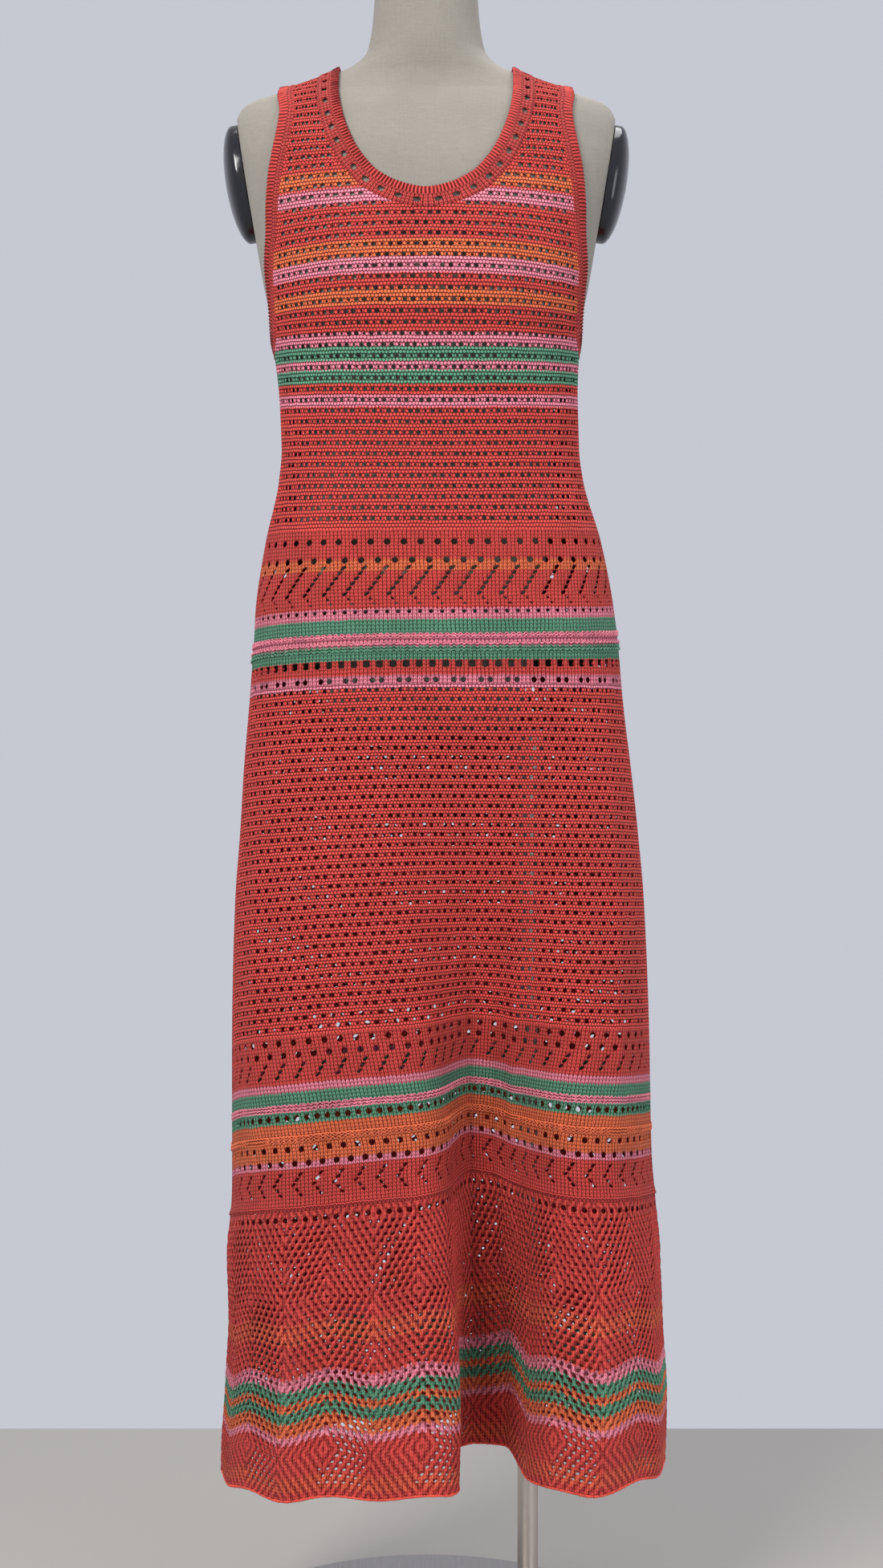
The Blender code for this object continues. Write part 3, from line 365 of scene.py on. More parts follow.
def neckEdge():
    def place(row, sign, side):
        wide, z = row
        _, half, front, back = (float(size[0]) for size in bodySizes(np.array([z])))
        deep = front if side < 0 else back
        power = dress["oval"]
        return (sign * wide, side * deep * (1 - min(wide / half, 1) ** power) ** (1 / power), z)

    left = (-neckShoulder[0], 0, neckShoulder[1])
    right = (neckShoulder[0], 0, neckShoulder[1])
    spots = [place(row, -1, -1) for row in neckFront]
    spots += [place(row, 1, -1) for row in reversed(neckFront[:-1])]
    backSpots = [place(row, 1, 1) for row in neckBack]
    backSpots += [place(row, -1, 1) for row in reversed(neckBack[:-1])]
    front, back = ontoBody(np.array(spots)), ontoBody(np.array(backSpots))
    return np.concatenate([[left], front, [right], back])


neckPath = EdgePath(neckEdge(), 480, 1)
armPaths = {sign: EdgePath(armholeEdge(sign), 400, -sign) for sign in (-1, 1)}
print("edges: neck %.3f m, armholes %.3f m" % (neckPath.length, armPaths[1].length))

yarn = {                      # sRGB of the cotton yarns where the light falls full on them
    "red": "#DE4E46", "orange": "#EF764B", "pink": "#F48D9F", "green": "#649D7D",
    "coral": "#EA523F", "rib": "#D44F49",
}


def linear(colour):
    values = [int(colour[i:i + 2], 16) / 255 for i in (1, 3, 5)]
    return tuple(v / 12.92 if v <= 0.04045 else ((v + 0.055) / 1.055) ** 2.4 for v in values) + (1,)


def connect(node, inputs):
    # links a socket, or sets a plain value, to each input by its name or number
    for key, value in inputs.items():
        if isinstance(value, bpy.types.NodeSocket):
            node.id_data.links.new(value, node.inputs[key])
        else:
            node.inputs[key].default_value = value


def addNode(tree, kind, inputs=(), out=0, **settings):
    # adds a node with its settings and links, and returns one of its outputs; a list of
    # inputs is in the node's own order, such as value, from least, from most, to least, to most
    node = tree.nodes.new(kind)
    for name, value in settings.items():
        setattr(node, name, value)
    connect(node, inputs if isinstance(inputs, dict) else dict(enumerate(inputs)))
    return node.outputs[out] if out is not None else node


def newMaterial(name, roughness, **sockets):
    material = bpy.data.materials.new(name)
    material.use_nodes = True
    tree = material.node_tree
    shader = tree.nodes["Principled BSDF"]
    values = {key.replace("_", " "): value for key, value in sockets.items()}
    connect(shader, {"Roughness": roughness, **values})
    return material, partial(addNode, tree), shader


# a stitch is 2.3 mm wide in the real knit, drawn about two thirds wider to show in a render
stitch = {
    "wide": 0.0038, "tall": 0.0033,
    "mossWide": 0.0032,       # a bead of the net's stitch
    "jag": 0.0018,            # how far a stripe's edge steps up in each stitch
    "laceJag": 0.0022,
    "laceStep": 0.0030,       # how much more it rises on the lace's ridges
    "depth": 0.0016,          # depth of the gaps between the yarns
    "paintedCreviceShade": 0.22,          # painted shade: how light the yarn is left down in the gaps between the yarns
    "strayAlong": 0.0022, "strayUp": 0.0018, "strays": 90.0,
    "fibres": 1100.0, "blots": 30.0,
}


def knitMaterial(name, base, stripes=(), zones=(), diamonds=None, wide=stitch["wide"],
                 jag=stitch["jag"]):
    # Soft matt cotton knit: a V or a bump for each stitch, with painted shade darkening the gaps
    # between the yarns.
    # The UV map holds metres along the row and the row's height. Each zone is
    # (lowest row, highest row, kind of stitch, a row at a course's foot, height of a course).
    material, add, shader = newMaterial(name, 0.9, Sheen_Weight=0.03, Sheen_Roughness=0.5,
                                        Specular_IOR_Level=0.2)
    uv = add("ShaderNodeUVMap", uv_map="knit")
    uneven = add("ShaderNodeTexNoise", {"Vector": uv, "Scale": stitch["strays"], "Detail": 2.0},
                 out=1)
    place = add("ShaderNodeSeparateXYZ", [uv], out=None).outputs
    stray = add("ShaderNodeSeparateXYZ", [uneven], out=None).outputs
    u = add("ShaderNodeMath", (stray[0], stitch["strayAlong"], place[0]),
            operation="MULTIPLY_ADD")
    up = add("ShaderNodeMath", (stray[1], stitch["strayUp"], -stitch["strayUp"] / 2),
             operation="MULTIPLY_ADD")
    v = add("ShaderNodeMath", (up, place[1]), operation="ADD")

    def waved(phase, share, middle):
        # a cosine wave of the phase, counted in periods
        turn = add("ShaderNodeMath", (phase, 2 * math.pi), operation="MULTIPLY")
        cosine = add("ShaderNodeMath", [turn], operation="COSINE")
        return add("ShaderNodeMath", (cosine, share, middle), operation="MULTIPLY_ADD")

    wales = add("ShaderNodeMath", (u, 1 / wide), operation="MULTIPLY")
    leg = add("ShaderNodeMath", (wales, 0.5), operation="PINGPONG")
    legTurn = add("ShaderNodeMath", (leg, 2 * math.pi), operation="MULTIPLY")
    arch = add("ShaderNodeMath", [legTurn], operation="SINE")

    def heightOf(kind, start, tall):
        courses = add("ShaderNodeMath", (v, 1 / tall, -start / tall), operation="MULTIPLY_ADD")
        if kind == "vee":                 # two slanting legs in each stitch
            slant = add("ShaderNodeMath", (leg, -1.3, courses), operation="MULTIPLY_ADD")
            legs = add("ShaderNodeMath", (arch, waved(slant, 0.42, 0.58)), operation="MULTIPLY")
            raised = add("ShaderNodeMath", (legs, 0.95, 0.30), operation="MULTIPLY_ADD")
            parts = raised, waved(wales, -0.30, 0.80)
        elif kind == "rib":               # cords across the edge
            parts = waved(wales, 0.46, 0.54), waved(courses, 0.12, 0.88)
        elif kind == "purl":              # wavy ridges along the row
            lifted = add("ShaderNodeMath", (courses, waved(wales, 0.14, 0.0)), operation="ADD")
            doubled = add("ShaderNodeMath", (wales, 2), operation="MULTIPLY")
            parts = waved(lifted, 0.42, 0.58), waved(doubled, 0.15, 0.85)
        else:                 # moss: a bead for each stitch, the next course's between them
            whole = add("ShaderNodeMath", [courses], operation="FLOOR")
            beads = add("ShaderNodeMath", (u, 1 / stitch["mossWide"]), operation="MULTIPLY")
            shifted = add("ShaderNodeMath", (whole, 0.5, beads), operation="MULTIPLY_ADD")
            squares = []
            for part in (shifted, courses):
                share = add("ShaderNodeMath", [part], operation="FRACT")
                off = add("ShaderNodeMath", (share, 2.0, -1.0), operation="MULTIPLY_ADD")
                squares.append(add("ShaderNodeMath", (off, off), operation="MULTIPLY"))
            apart = add("ShaderNodeMath", squares, operation="ADD")
            bead = add("ShaderNodeMath", (apart, -0.78, 1.08), operation="MULTIPLY_ADD")
            return add("ShaderNodeMath", (bead, 0.0), operation="MAXIMUM")
        return add("ShaderNodeMath", parts, operation="MULTIPLY")

    height = heightOf("vee", 0.0, stitch["tall"])
    for low, high, kind, start, tall in zones:
        within = add("ShaderNodeMath", (v, (low + high) / 2, (high - low) / 2),
                     operation="COMPARE")
        height = add("ShaderNodeMix", {0: within, 2: height, 3: heightOf(kind, start, tall)})
    edge = add("ShaderNodeMath", (leg, -2 * jag, v), operation="MULTIPLY_ADD")
    edge = add("ShaderNodeMath", (edge, jag / 2), operation="ADD")
    if diamonds:
        # ridges between the lines of gaps, in diamonds one inside the other
        column, hole = diamonds["column"], diamonds["hole"]
        zig = add("ShaderNodeMath", (u, column * diamonds["columns"] / 2), operation="PINGPONG")
        rise = add("ShaderNodeMath", (v, diamonds["centre"]), operation="SUBTRACT")
        zag = add("ShaderNodeMath", (rise, diamonds["reach"]), operation="PINGPONG")
        away = add("ShaderNodeMath", (zig, 2 * hole / column, zag), operation="MULTIPLY_ADD")
        lines = add("ShaderNodeMath", (away, 0.25 / hole), operation="MULTIPLY")
        ridges = waved(lines, -0.5, 0.5)
        flatter = add("ShaderNodeMath", (height, 0.62), operation="MULTIPLY")
        height = add("ShaderNodeMath", (ridges, 0.34, flatter), operation="MULTIPLY_ADD")
        edge = add("ShaderNodeMath", (ridges, stitch["laceStep"], edge), operation="MULTIPLY_ADD")
    coords = add("ShaderNodeTexCoord", out=3)
    fuzz = add("ShaderNodeTexNoise", {"Vector": coords, "Scale": stitch["fibres"], "Detail": 2.0})
    height = add("ShaderNodeMath", (fuzz, 0.45, height), operation="MULTIPLY_ADD")
    light = add("ShaderNodeMapRange", (height, 0.22, 1.05), interpolation_type="SMOOTHSTEP")
    plain = add("ShaderNodeRGB", out=None)
    plain.outputs[0].default_value = linear(yarn[base])
    colour = plain.outputs[0]
    for low, high, tone, *faint in stripes:
        within = add("ShaderNodeMath", (edge, (low + high) / 2, (high - low) / 2),
                     operation="COMPARE")
        if faint:             # a faint stripe shows on the raised yarns alone
            raised = add("ShaderNodeMath", (within, light), operation="MULTIPLY")
            within = add("ShaderNodeMath", (raised, faint[0]), operation="MULTIPLY")
        colour = add("ShaderNodeMix", {0: within, 6: colour, 7: linear(yarn[tone])},
                     out=2, data_type="RGBA")
    # painted shade: where the stitch height is low, the yarn's colour is squared and darkened
    squared = add("ShaderNodeVectorMath", (colour, colour), operation="MULTIPLY")
    deep = add("ShaderNodeVectorMath", {0: squared, "Scale": stitch["paintedCreviceShade"]},
               operation="SCALE")
    shade = add("ShaderNodeMix", {0: light, 6: deep, 7: colour}, out=2, data_type="RGBA")
    blot = add("ShaderNodeTexNoise", {"Vector": coords, "Scale": stitch["blots"], "Detail": 4.0})
    tone = add("ShaderNodeMapRange", (blot, 0.3, 0.7, 0.88, 1.06))
    shade = add("ShaderNodeVectorMath", {0: shade, "Scale": tone}, operation="SCALE")
    bump = add("ShaderNodeBump", {"Height": light, "Distance": stitch["depth"], "Strength": 1.0})
    connect(shader, {"Base Color": shade, "Normal": bump})
    return material


random = np.random.default_rng(20)


class KnitGrid:
    # rows of stitches with round gaps, joined where their numbers differ
    def __init__(self, closed=False):
        self.share, self.row, self.hole, self.faces = [], [], [], []
        self.closed = closed
        self.last = None

    def line(self, count, row):
        start = len(self.share)
        points = count if self.closed else count + 1
        self.share += [i / count for i in range(points)]
        self.row += [row] * points
        self.hole += [False] * points
        return [start + i % points for i in range(count + 1)]

    def join(self, upper, lower):
        # triangles between two rows of unlike counts
        i = j = 0
        above, below = len(upper) - 1, len(lower) - 1
        if above == below:
            self.faces += [(upper[k], lower[k], lower[k + 1], upper[k + 1]) for k in range(above)]
            return
        while i < above or j < below:
            if j >= below or (i < above and (i + 1) / above <= (j + 1) / below):
                self.faces.append((upper[i], lower[j], upper[i + 1]))
                i += 1
            else:
                self.faces.append((upper[i], lower[j], lower[j + 1]))
                j += 1

    def zone(self, rows, count, holes, length):
        # holes are (row, column, width, height, lean): each takes two rows and two columns
        lines = [self.line(count, row) for row in rows]
        if self.last is not None:
            self.join(self.last, lines[0])
        self.last = lines[-1]
        taken, corners = set(), 8
        for j, k, wide, tall, *lean in holes:
            if self.closed:
                k %= count
            cells = {(j + a, (k + b) % count) for a in (0, 1) for b in (0, 1)}
            if k < 0 or (k + 2 > count and not self.closed) or j + 2 >= len(rows) or cells & taken:
                continue
            taken |= cells
            at = [(j, k), (j, k + 1), (j, k + 2), (j + 1, k + 2), (j + 2, k + 2), (j + 2, k + 1),
                  (j + 2, k), (j + 1, k)]
            outer = [lines[a][b % count if self.closed else b] for a, b in at]
            start = len(self.share)
            for n in range(corners):
                turn = math.radians(135 - 45 * n)
                slip = tall / 2 * math.sin(turn) * (lean[0] if lean else 0)
                self.share.append((k + 1) / count + (wide / 2 * math.cos(turn) + slip) / length)
                self.row.append(rows[j + 1] + tall / 2 * math.sin(turn))
                self.hole.append(True)
            for n in range(corners):
                m = (n + 1) % corners
                self.faces.append((outer[m], outer[n], start + n, start + m))
        for j in range(len(rows) - 1):
            for k in range(count):
                if (j, k) not in taken:
                    upper, lower = lines[j], lines[j + 1]
                    self.faces.append((upper[k], lower[k], lower[k + 1], upper[k + 1]))


knitted = {"column": 0.0037, "row": 0.0045}   # the mesh's steps where the knit is plain


def rowsBetween(top, foot, pitch):
    count = max(round((top - foot) / pitch), 1)
    return [top - (top - foot) * i / count for i in range(count + 1)]


lace = {  # the flounce: columns in each wave, a column's width, half a hole row's height, the gaps
    -1: {"columns": 24, "column": 0.0034, "hole": 0.00295, "wide": 0.0037, "tall": 0.0036},
    1: {"columns": 20, "column": 0.00528, "hole": 0.00395, "wide": 0.0040, "tall": 0.0034},
}
laceRows = {
    "top": 0.4240, "foot": 0.1800, "diamond": 0.3570, "reach": 0.0714,
    "close": 0.233,           # the lace is closer knitted below this row
    "ridge": 0.0006,          # how far the ridges stand out
    "spine": 0.0022,          # how deep the diamonds' side corners lie
}
for size in lace.values():
    rowsOfGaps = round((laceRows["top"] - laceRows["foot"]) / (2 * size["hole"]))
    size["hole"] = (laceRows["top"] - laceRows["foot"]) / (2 * rowsOfGaps)
    oddRow = 2 * round(((laceRows["top"] - laceRows["diamond"]) / size["hole"] - 3) / 4) + 1
    size["centre"] = laceRows["top"] - (2 * oddRow + 1) * size["hole"]
    size["reach"] = 4 * size["hole"] * round(laceRows["reach"] / (4 * size["hole"]))
    size["rows"] = rowsOfGaps


def laceRidges(share, row, side):
    # 1 on the ridges of the nested diamonds, 0 along the lines of gaps
    size = lace[side]
    zig = np.abs((share * wave["count"][side] + 0.5) % 1 - 0.5) * size["columns"] * size["column"]
    zag = np.abs(((row - size["centre"]) / (2 * size["reach"]) + 0.5) % 1 - 0.5) * 2 * size["reach"]
    lines = (zag + zig * 2 * size["hole"] / size["column"]) / (4 * size["hole"])
    within = np.clip((laceRows["top"] + 0.002 - row) / 0.003, 0, 1)
    return within * (0.5 - 0.5 * np.cos(2 * np.pi * lines))


def meshPattern(side, top, foot, rowPitch, repeat, big, small):
    # two big gaps and a small one in each repeat, shifted by half a repeat in the next row
    rowsOfHoles = max(round((top - foot) / rowPitch), 1)
    rows = rowsBetween(top, foot, (top - foot) / rowsOfHoles / 3)
    length = rowLength((top + foot) / 2, side)
    repeats = round(length / repeat)
    holes = []
    for r in range(rowsOfHoles):
        for q in range(-1, repeats):
            shift = 6 * q + 3 * (r % 2)
            for k, size in ((0, big), (2, big), (4, small)):
                stretch = 1 + 0.10 * random.standard_normal()
                holes.append((3 * r, shift + k, size[0] * stretch, size[1] * (2 - stretch)))
    return rows, 6 * repeats, holes, length


eyelets = {  # height of two grid rows, pitch along the row, columns in a pitch, width, height
    "round": (0.0078, 0.0154, 4, 0.0062, 0.0058),
    "fine": (0.0062, 0.0200, 6, 0.0040, 0.0036),
    "large": (0.0088, 0.0121, 4, 0.0084, 0.0066),
    "paired": (0.0076, 0.0246, 6, 0.0054, 0.0052),
    "close": (0.0080, 0.0100, 3, 0.0058, 0.0056),
    "bandUpper": (0.0078, 0.0135, 4, 0.0058, 0.0056),
    "bandLower": (0.0078, 0.0135, 4, 0.0060, 0.0058),
    "seam": (0.0072, 0.0100, 3, 0.0054, 0.0052),
}


def eyeletPattern(side, centre, kind, shift=0, step=None):
    # one row of eyelets; step gives a second eyelet after so many columns
    tall, repeat, columns, wide, high = eyelets[kind]
    length = rowLength(centre, side)
    repeats = round(length / repeat)
    starts = [shift] if step is None else [shift, shift + step]
    holes = [(0, q * columns + start, wide, high) for start in starts for q in range(repeats)]
    return [centre + tall / 2, centre, centre - tall / 2], columns * repeats, holes, length


diagonal = {"repeat": 0.0200, "columns": 6, "slash": 0.75, "back": -0.6}


def diagonalPattern(side, top, stepTall, moves, wide, high, start):
    # eyelets that step sideways from row to row: (columns moved, size, way the gap leans)
    columns = diagonal["columns"]
    length = rowLength(top, side)
    repeats = round(length / diagonal["repeat"])
    rows = [top - stepTall / 2 * i for i in range(2 * len(moves) + 1)]
    holes, at = [], start
    for r, (move, size, way) in enumerate(moves):
        at += move
        holes += [(2 * r, q * columns + at % columns, wide * size, high * size, diagonal[way])
                  for q in range(-1, repeats)]
    return rows, columns * repeats, holes, length


def plainPattern(side, rows):
    length = rowLength(rows[0], side)
    return rows, round(length / knitted["column"]), [], length


def lacePattern(side):
    # gaps set like bricks over the whole lace, wide open on one flank of each diamond
    size = lace[side]
    count = size["columns"] * wave["count"][side]
    length = count * size["column"]
    rows = rowsBetween(laceRows["top"], laceRows["foot"], size["hole"])
    holes = []
    for r in range(size["rows"]):
        for k in range(r % 2, count - 1, 2):
            level = rows[2 * r + 1]
            at = (k + 1) / size["columns"]
            up = (level - size["centre"]) / (2 * size["reach"])
            flank = math.cos(2 * math.pi * (at - 0.27 - (0.42 if up > 0 else -0.08)))
            middle = abs((at + 0.5) % 1 - 0.5) + abs((up + 0.5) % 1 - 0.5)
            openness = 0.80 + 0.20 * flank + 0.06 * random.standard_normal()
            openness -= 0.22 * (middle < 0.16) + 0.20 * (abs(at % 1 - 0.5) < 0.06)
            low = level < laceRows["close"]
            openness -= 0.34 * low
            if openness < (0.47 if low else 0.52):
                continue
            lean = 0.35 if (at % 1 > 0.5) == (up % 1 < 0.5) else -0.35
            holes.append((2 * r, k, size["wide"] * openness, size["tall"] * openness, lean))
    return rows, count, holes, length


def buildKnit(patterns, clear=None):
    # stacks the patterns, with plain rows between them and no gap where it isn't clear
    grid, foot = KnitGrid(), None
    for rows, count, holes, length in patterns:
        if foot is not None and foot - rows[0] > 1.5 * knitted["row"]:
            between = rowsBetween(foot, rows[0], knitted["row"])[1:-1]
            if between:
                grid.zone(between, count, (), length)
        if clear is not None and holes:
            places = np.array([((hole[1] + 1) / count, rows[min(hole[0] + 1, len(rows) - 1)])
                               for hole in holes])
            fine = clear(places[:, 0], places[:, 1])
            holes = [hole for hole, good in zip(holes, fine) if good]
        grid.zone(rows, count, holes, length)
        foot = rows[-1]
    return grid


def insidePolygon(polygon, x, y):
    # even-odd test of many points
    found = np.zeros(len(x), bool)
    x1, y1 = polygon[:, 0], polygon[:, 1]
    x2, y2 = np.roll(x1, -1), np.roll(y1, -1)
    for a, b, c, d in zip(x1, y1, x2, y2):
        if b == d:
            continue
        crosses = (b > y) != (d > y)
        found ^= crosses & (x < (c - a) * (y - b) / (d - b) + a)
    return found


def vertexNormals(points, faces):
    normals = np.zeros_like(points)
    for size in (3, 4):
        group = np.array([face for face in faces if len(face) == size])
        if not len(group):
            continue
        across = points[group[:, 2]] - points[group[:, 0]]
        other = points[group[:, -1]] - points[group[:, 1]]
        flat = np.cross(across, other)
        for corner in range(size):
            np.add.at(normals, group[:, corner], flat)
    return unit(normals)


def newPiece(name, mesh):
    piece = bpy.data.objects.new(name, mesh)
    bpy.context.scene.collection.objects.link(piece)
    return piece


def handIn(piece, slot, *nodes):
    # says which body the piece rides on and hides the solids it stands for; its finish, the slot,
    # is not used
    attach(piece, "root")
    if nodes:
        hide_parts(*nodes)
    return piece


def clothPiece(name, points, faces, uvs, material, slot, thick, nodes):
    # a closed shell of the cloth's thickness, its outer side at the given points
    used = np.unique(np.concatenate([np.array(face) for face in faces]))
    renumber = -np.ones(len(points), int)
    renumber[used] = np.arange(len(used))
    mesh = bpy.data.meshes.new(name)
    mesh.from_pydata(points[used].tolist(), [],
                     [[int(renumber[i]) for i in face] for face in faces])
    layer = mesh.uv_layers.new(name="knit")
    corner = np.zeros(len(mesh.loops), np.int32)
    mesh.loops.foreach_get("vertex_index", corner)
    layer.data.foreach_set("uv", uvs[used][corner].astype(np.float32).ravel())
    mesh.materials.append(material)
    mesh.shade_smooth()
    piece = newPiece(name, mesh)
    shell = piece.modifiers.new("Thickness", "SOLIDIFY")
    shell.thickness = thick
    shell.offset = -1
    applyModifiers(piece)
    return handIn(piece, slot, *nodes)


def applyModifiers(piece):
    evaluated = piece.evaluated_get(bpy.context.evaluated_depsgraph_get())
    made = bpy.data.meshes.new_from_object(evaluated)
    piece.modifiers.clear()
    old, piece.data = piece.data, made
    bpy.data.meshes.remove(old)
    made.name = piece.name


def triangles(piece):
    return sum(len(face.vertices) - 2 for face in piece.data.polygons)


bands = {
    "neckWide": 0.021, "neckRib": 0.008, "armWide": 0.015, "armRib": 0.009,
    "over": 0.0025,           # the bands lie over the panels' edges by this much
    "raise": 0.0008,
    "ribPitch": 0.0032, "ribDeep": 0.0013,
    "thick": 0.0020,
    "rim": 0.0012,            # a band's two edges turn in over this much
}
shares = np.linspace(0, 1, 900, endpoint=False)
cutOff = {"neck": bands["neckWide"] - bands["over"], "arm": bands["armWide"] - bands["over"]}
neckCut = neckPath.place(shares, cutOff["neck"])
armCut = {sign: armPaths[sign].place(shares, cutOff["arm"]) for sign in (-1, 1)}


cutZones = {"armFrom": 0.06, "armAbove": 1.18, "neckAbove": 1.3, "open": 1.8}


def insideCuts(points, side, grow=0.0):
    # whether points of a panel lie in the armholes or the neck opening
    x, y, z = points.T
    found = np.zeros(len(points), bool)
    for sign in (-1, 1):
        loop = armPaths[sign].place(shares[::6], cutOff["arm"] + grow)
        near = (x * sign > cutZones["armFrom"]) & (z > cutZones["armAbove"])
        found |= near & insidePolygon(loop[:, 1:], y, z)
    loop = neckPath.place(shares[::6], cutOff["neck"] + grow)
    half = loop[side * loop[:, 1] >= 0]
    half = half[np.argsort(half[:, 0])]
    top = cutZones["open"]
    polygon = np.array([*half[:, [0, 2]].tolist(), [half[-1, 0], top], [half[0, 0], top]])
    return found | (insidePolygon(polygon, x, z) & (z > cutZones["neckAbove"]))


relief = [  # purl rows that stand out: row, height, half width
    (0.9470, 0.0007, 0.0020), (0.9395, 0.0007, 0.0018), (0.9340, 0.0009, 0.0018),
    (0.5030, 0.0009, 0.0014), (0.5002, 0.0011, 0.0014), (0.4442, 0.0012, 0.0014),
    (0.4405, 0.0018, 0.0020),
]


def rowRelief(row):
    out = 0 * row
    for at, high, half in relief:
        out = out + high * np.maximum(1 - np.abs(row - at) / half, 0)
    return out


def creases(across, row, side):
    # soft folds of the hanging cloth, outward only where the form is close
    out = 0 * row
    for at, lean, wide, high, low, top in creaseRows[side]:
        fade = np.clip((row - low) / 0.06, 0, 1) * np.clip((top - row) / 0.08, 0, 1)
        fade = fade * fade * (3 - 2 * fade)
        out = out + high * fade * np.exp(-((across - at - lean * (row - low)) / wide) ** 2)
    return out


creaseRows = {  # share of the width, its drift per metre, width, height, lowest and highest row
    -1: [(0.13, 0.02, 0.020, 0.0030, 0.46, 0.80), (0.245, 0.02, 0.018, -0.0022, 0.45, 0.70),
         (0.33, 0.0, 0.022, 0.0020, 0.50, 0.90), (0.655, 0.0, 0.016, 0.0025, 0.44, 0.72),
         (0.86, -0.02, 0.020, 0.0022, 0.46, 0.85)],
    1: [(0.10, 0.0, 0.022, 0.0025, 0.45, 0.80), (0.33, 0.0, 0.024, 0.0030, 0.44, 0.78),
        (0.66, 0.0, 0.020, 0.0026, 0.46, 0.85), (0.92, 0.0, 0.020, 0.0022, 0.45, 0.75)],
}


def trimmed(points, faces, share, row, hole, side):
    # leaves out what lies in the cuts, and pulls the rim that is left onto their curves
    inCut = insideCuts(points, side)
    faces = [face for face in faces if sum(inCut[i] for i in face) * 2 <= len(face)]
    count = {}
    for face in faces:
        for a, b in zip(face, face[1:] + face[:1]):
            count[(min(a, b), max(a, b))] = count.get((min(a, b), max(a, b)), 0) + 1
    rim = sorted({i for edge, uses in count.items() if uses == 1 for i in edge})
    rim = np.array([i for i in rim if not hole[i] and 0 < share[i] < 1 and row[i] > 1.2])
    curves = np.concatenate([neckCut[side * neckCut[:, 1] >= 0], armCut[-1], armCut[1]])
    gaps = np.linalg.norm(points[rim][:, None] - curves[None], axis=2)
    near = gaps.min(axis=1) < 0.0055
    points[rim[near]] = curves[gaps.argmin(axis=1)[near]]
    return faces


def panelPiece(name, side, patterns, material, node, straps=None, tuckAbove=None, laced=False):
    # a panel with straps has the armholes and the neck cut out

    def clear(across, row):
        points = clothBase(np.clip(across, 0, 1), row, side)
        return ~insideCuts(points, side, 0.006)

    grid = buildKnit(patterns, clear if straps else None)
    share, row = np.array(grid.share), np.array(grid.row)
    hole = np.array(grid.hole)
    points = clothBase(share, row, side)
    faces = trimmed(points, grid.faces, share, row, hole, side) if straps else grid.faces
    if side > 0:
        faces = [face[::-1] for face in faces]
    along = (share - 0.5) * np.array([rowLength(r, side) for r in row])
    out = dress["outer"] + rowRelief(row) + creases(share, row, side) - dress["dip"] * hole
    if straps:
        out = out - dress["tuck"] * np.clip((row - tuckAbove) / dress["tuckOver"], 0, 1)
    if laced:
        waves = share * wave["count"][side]
        along = waves * lace[side]["columns"] * lace[side]["column"]
        spine = np.abs(waves % 1 - 0.5)
        fade = np.clip((0.43 - row) / 0.03, 0, 1) * np.clip((row - 0.29) / 0.05, 0, 1)
        out = (out + laceRows["ridge"] * laceRidges(share, row, side)
               - laceRows["spine"] * fade * np.exp(-(spine / 0.06) ** 2))
    uvs = np.stack([along, row], axis=-1)
    normals = vertexNormals(points, faces)
    points = points + normals * out[:, None]
    for strap in straps or []:
        start = len(points)
        points = np.concatenate([points, strap["points"]])
        uvs = np.concatenate([uvs, strap["uvs"]])
        faces = faces + [tuple(i + start for i in face) for face in strap["faces"]]
    return clothPiece(name, points, faces, uvs, material, "knit", dress["drawn"], [node])


strapSizes = {
    "wide": 0.044, "long": 0.118,     # as it is knitted
    "grid": 0.055, "rowPitch": 0.0093, "repeats": 3, "big": (0.0046, 0.0044),
    "small": (0.0030, 0.0026), "uvAt": 0.11,
}


def strapGrid(side, sign, start):
    # a shoulder strap's panel, between the armhole's cut and the neck's, up to the seam
    def edge(loop):
        keep = loop[(side * loop[:, 1] >= -0.0004) & (loop[:, 2] > start - 0.004)
                    & (loop[:, 0] * sign > 0.03)]
        keep = keep[np.argsort(-side * keep[:, 1] * 0.6 + keep[:, 2])]
        if keep[0, 2] > start:        # the back's neckline ends above the strap's first row
            foot = ontoBody(keep[:1] - [[0, 0, keep[0, 2] - start]])
            keep = np.concatenate([foot, keep])
        lengths = runningLength(keep)
        low = np.interp(start, np.maximum.accumulate(keep[:, 2]), lengths)
        return keep, lengths, low

    inner, outer = edge(neckCut), edge(armCut[sign])
    reach = ((inner[1][-1] - inner[2]) + (outer[1][-1] - outer[2])) / 2
    holeRows = round(reach / strapSizes["rowPitch"])
    repeats, big, small = (strapSizes[key] for key in ("repeats", "big", "small"))
    grid = KnitGrid()
    rows = [start + reach * (1 - i / (3 * holeRows)) for i in range(3 * holeRows + 1)]
    holes = []
    for r in range(holeRows):
        for q in range(-1, repeats):
            for k, size in ((0, big), (2, big), (4, small)):
                column = 6 * q + 3 * (r % 2) + k
                if 1 <= column and column + 3 <= 6 * repeats:
                    holes.append((3 * r, column, *size))
    grid.zone(rows, 6 * repeats, holes, strapSizes["grid"])
    share, row = np.array(grid.share), np.array(grid.row)
    climb = np.clip((row - start) / reach, 0, 1)

    def along(curve):
        keep, lengths, low = curve
        return readOff(keep, lengths, low + (lengths[-1] - low) * climb)

    left, right = (outer, inner) if sign < 0 else (inner, outer)
    a, b = along(left), along(right)
    points = ontoBody(a + (b - a) * share[:, None])
    faces = grid.faces if side < 0 else [face[::-1] for face in grid.faces]
    normals = vertexNormals(points, faces)
    points = points + normals * (dress["outer"] - dress["dip"] * np.array(grid.hole))[:, None]
    uvs = np.stack([sign * strapSizes["uvAt"] + (share - 0.5) * strapSizes["grid"], row], axis=-1)
    return {"points": points, "faces": faces, "uvs": uvs}


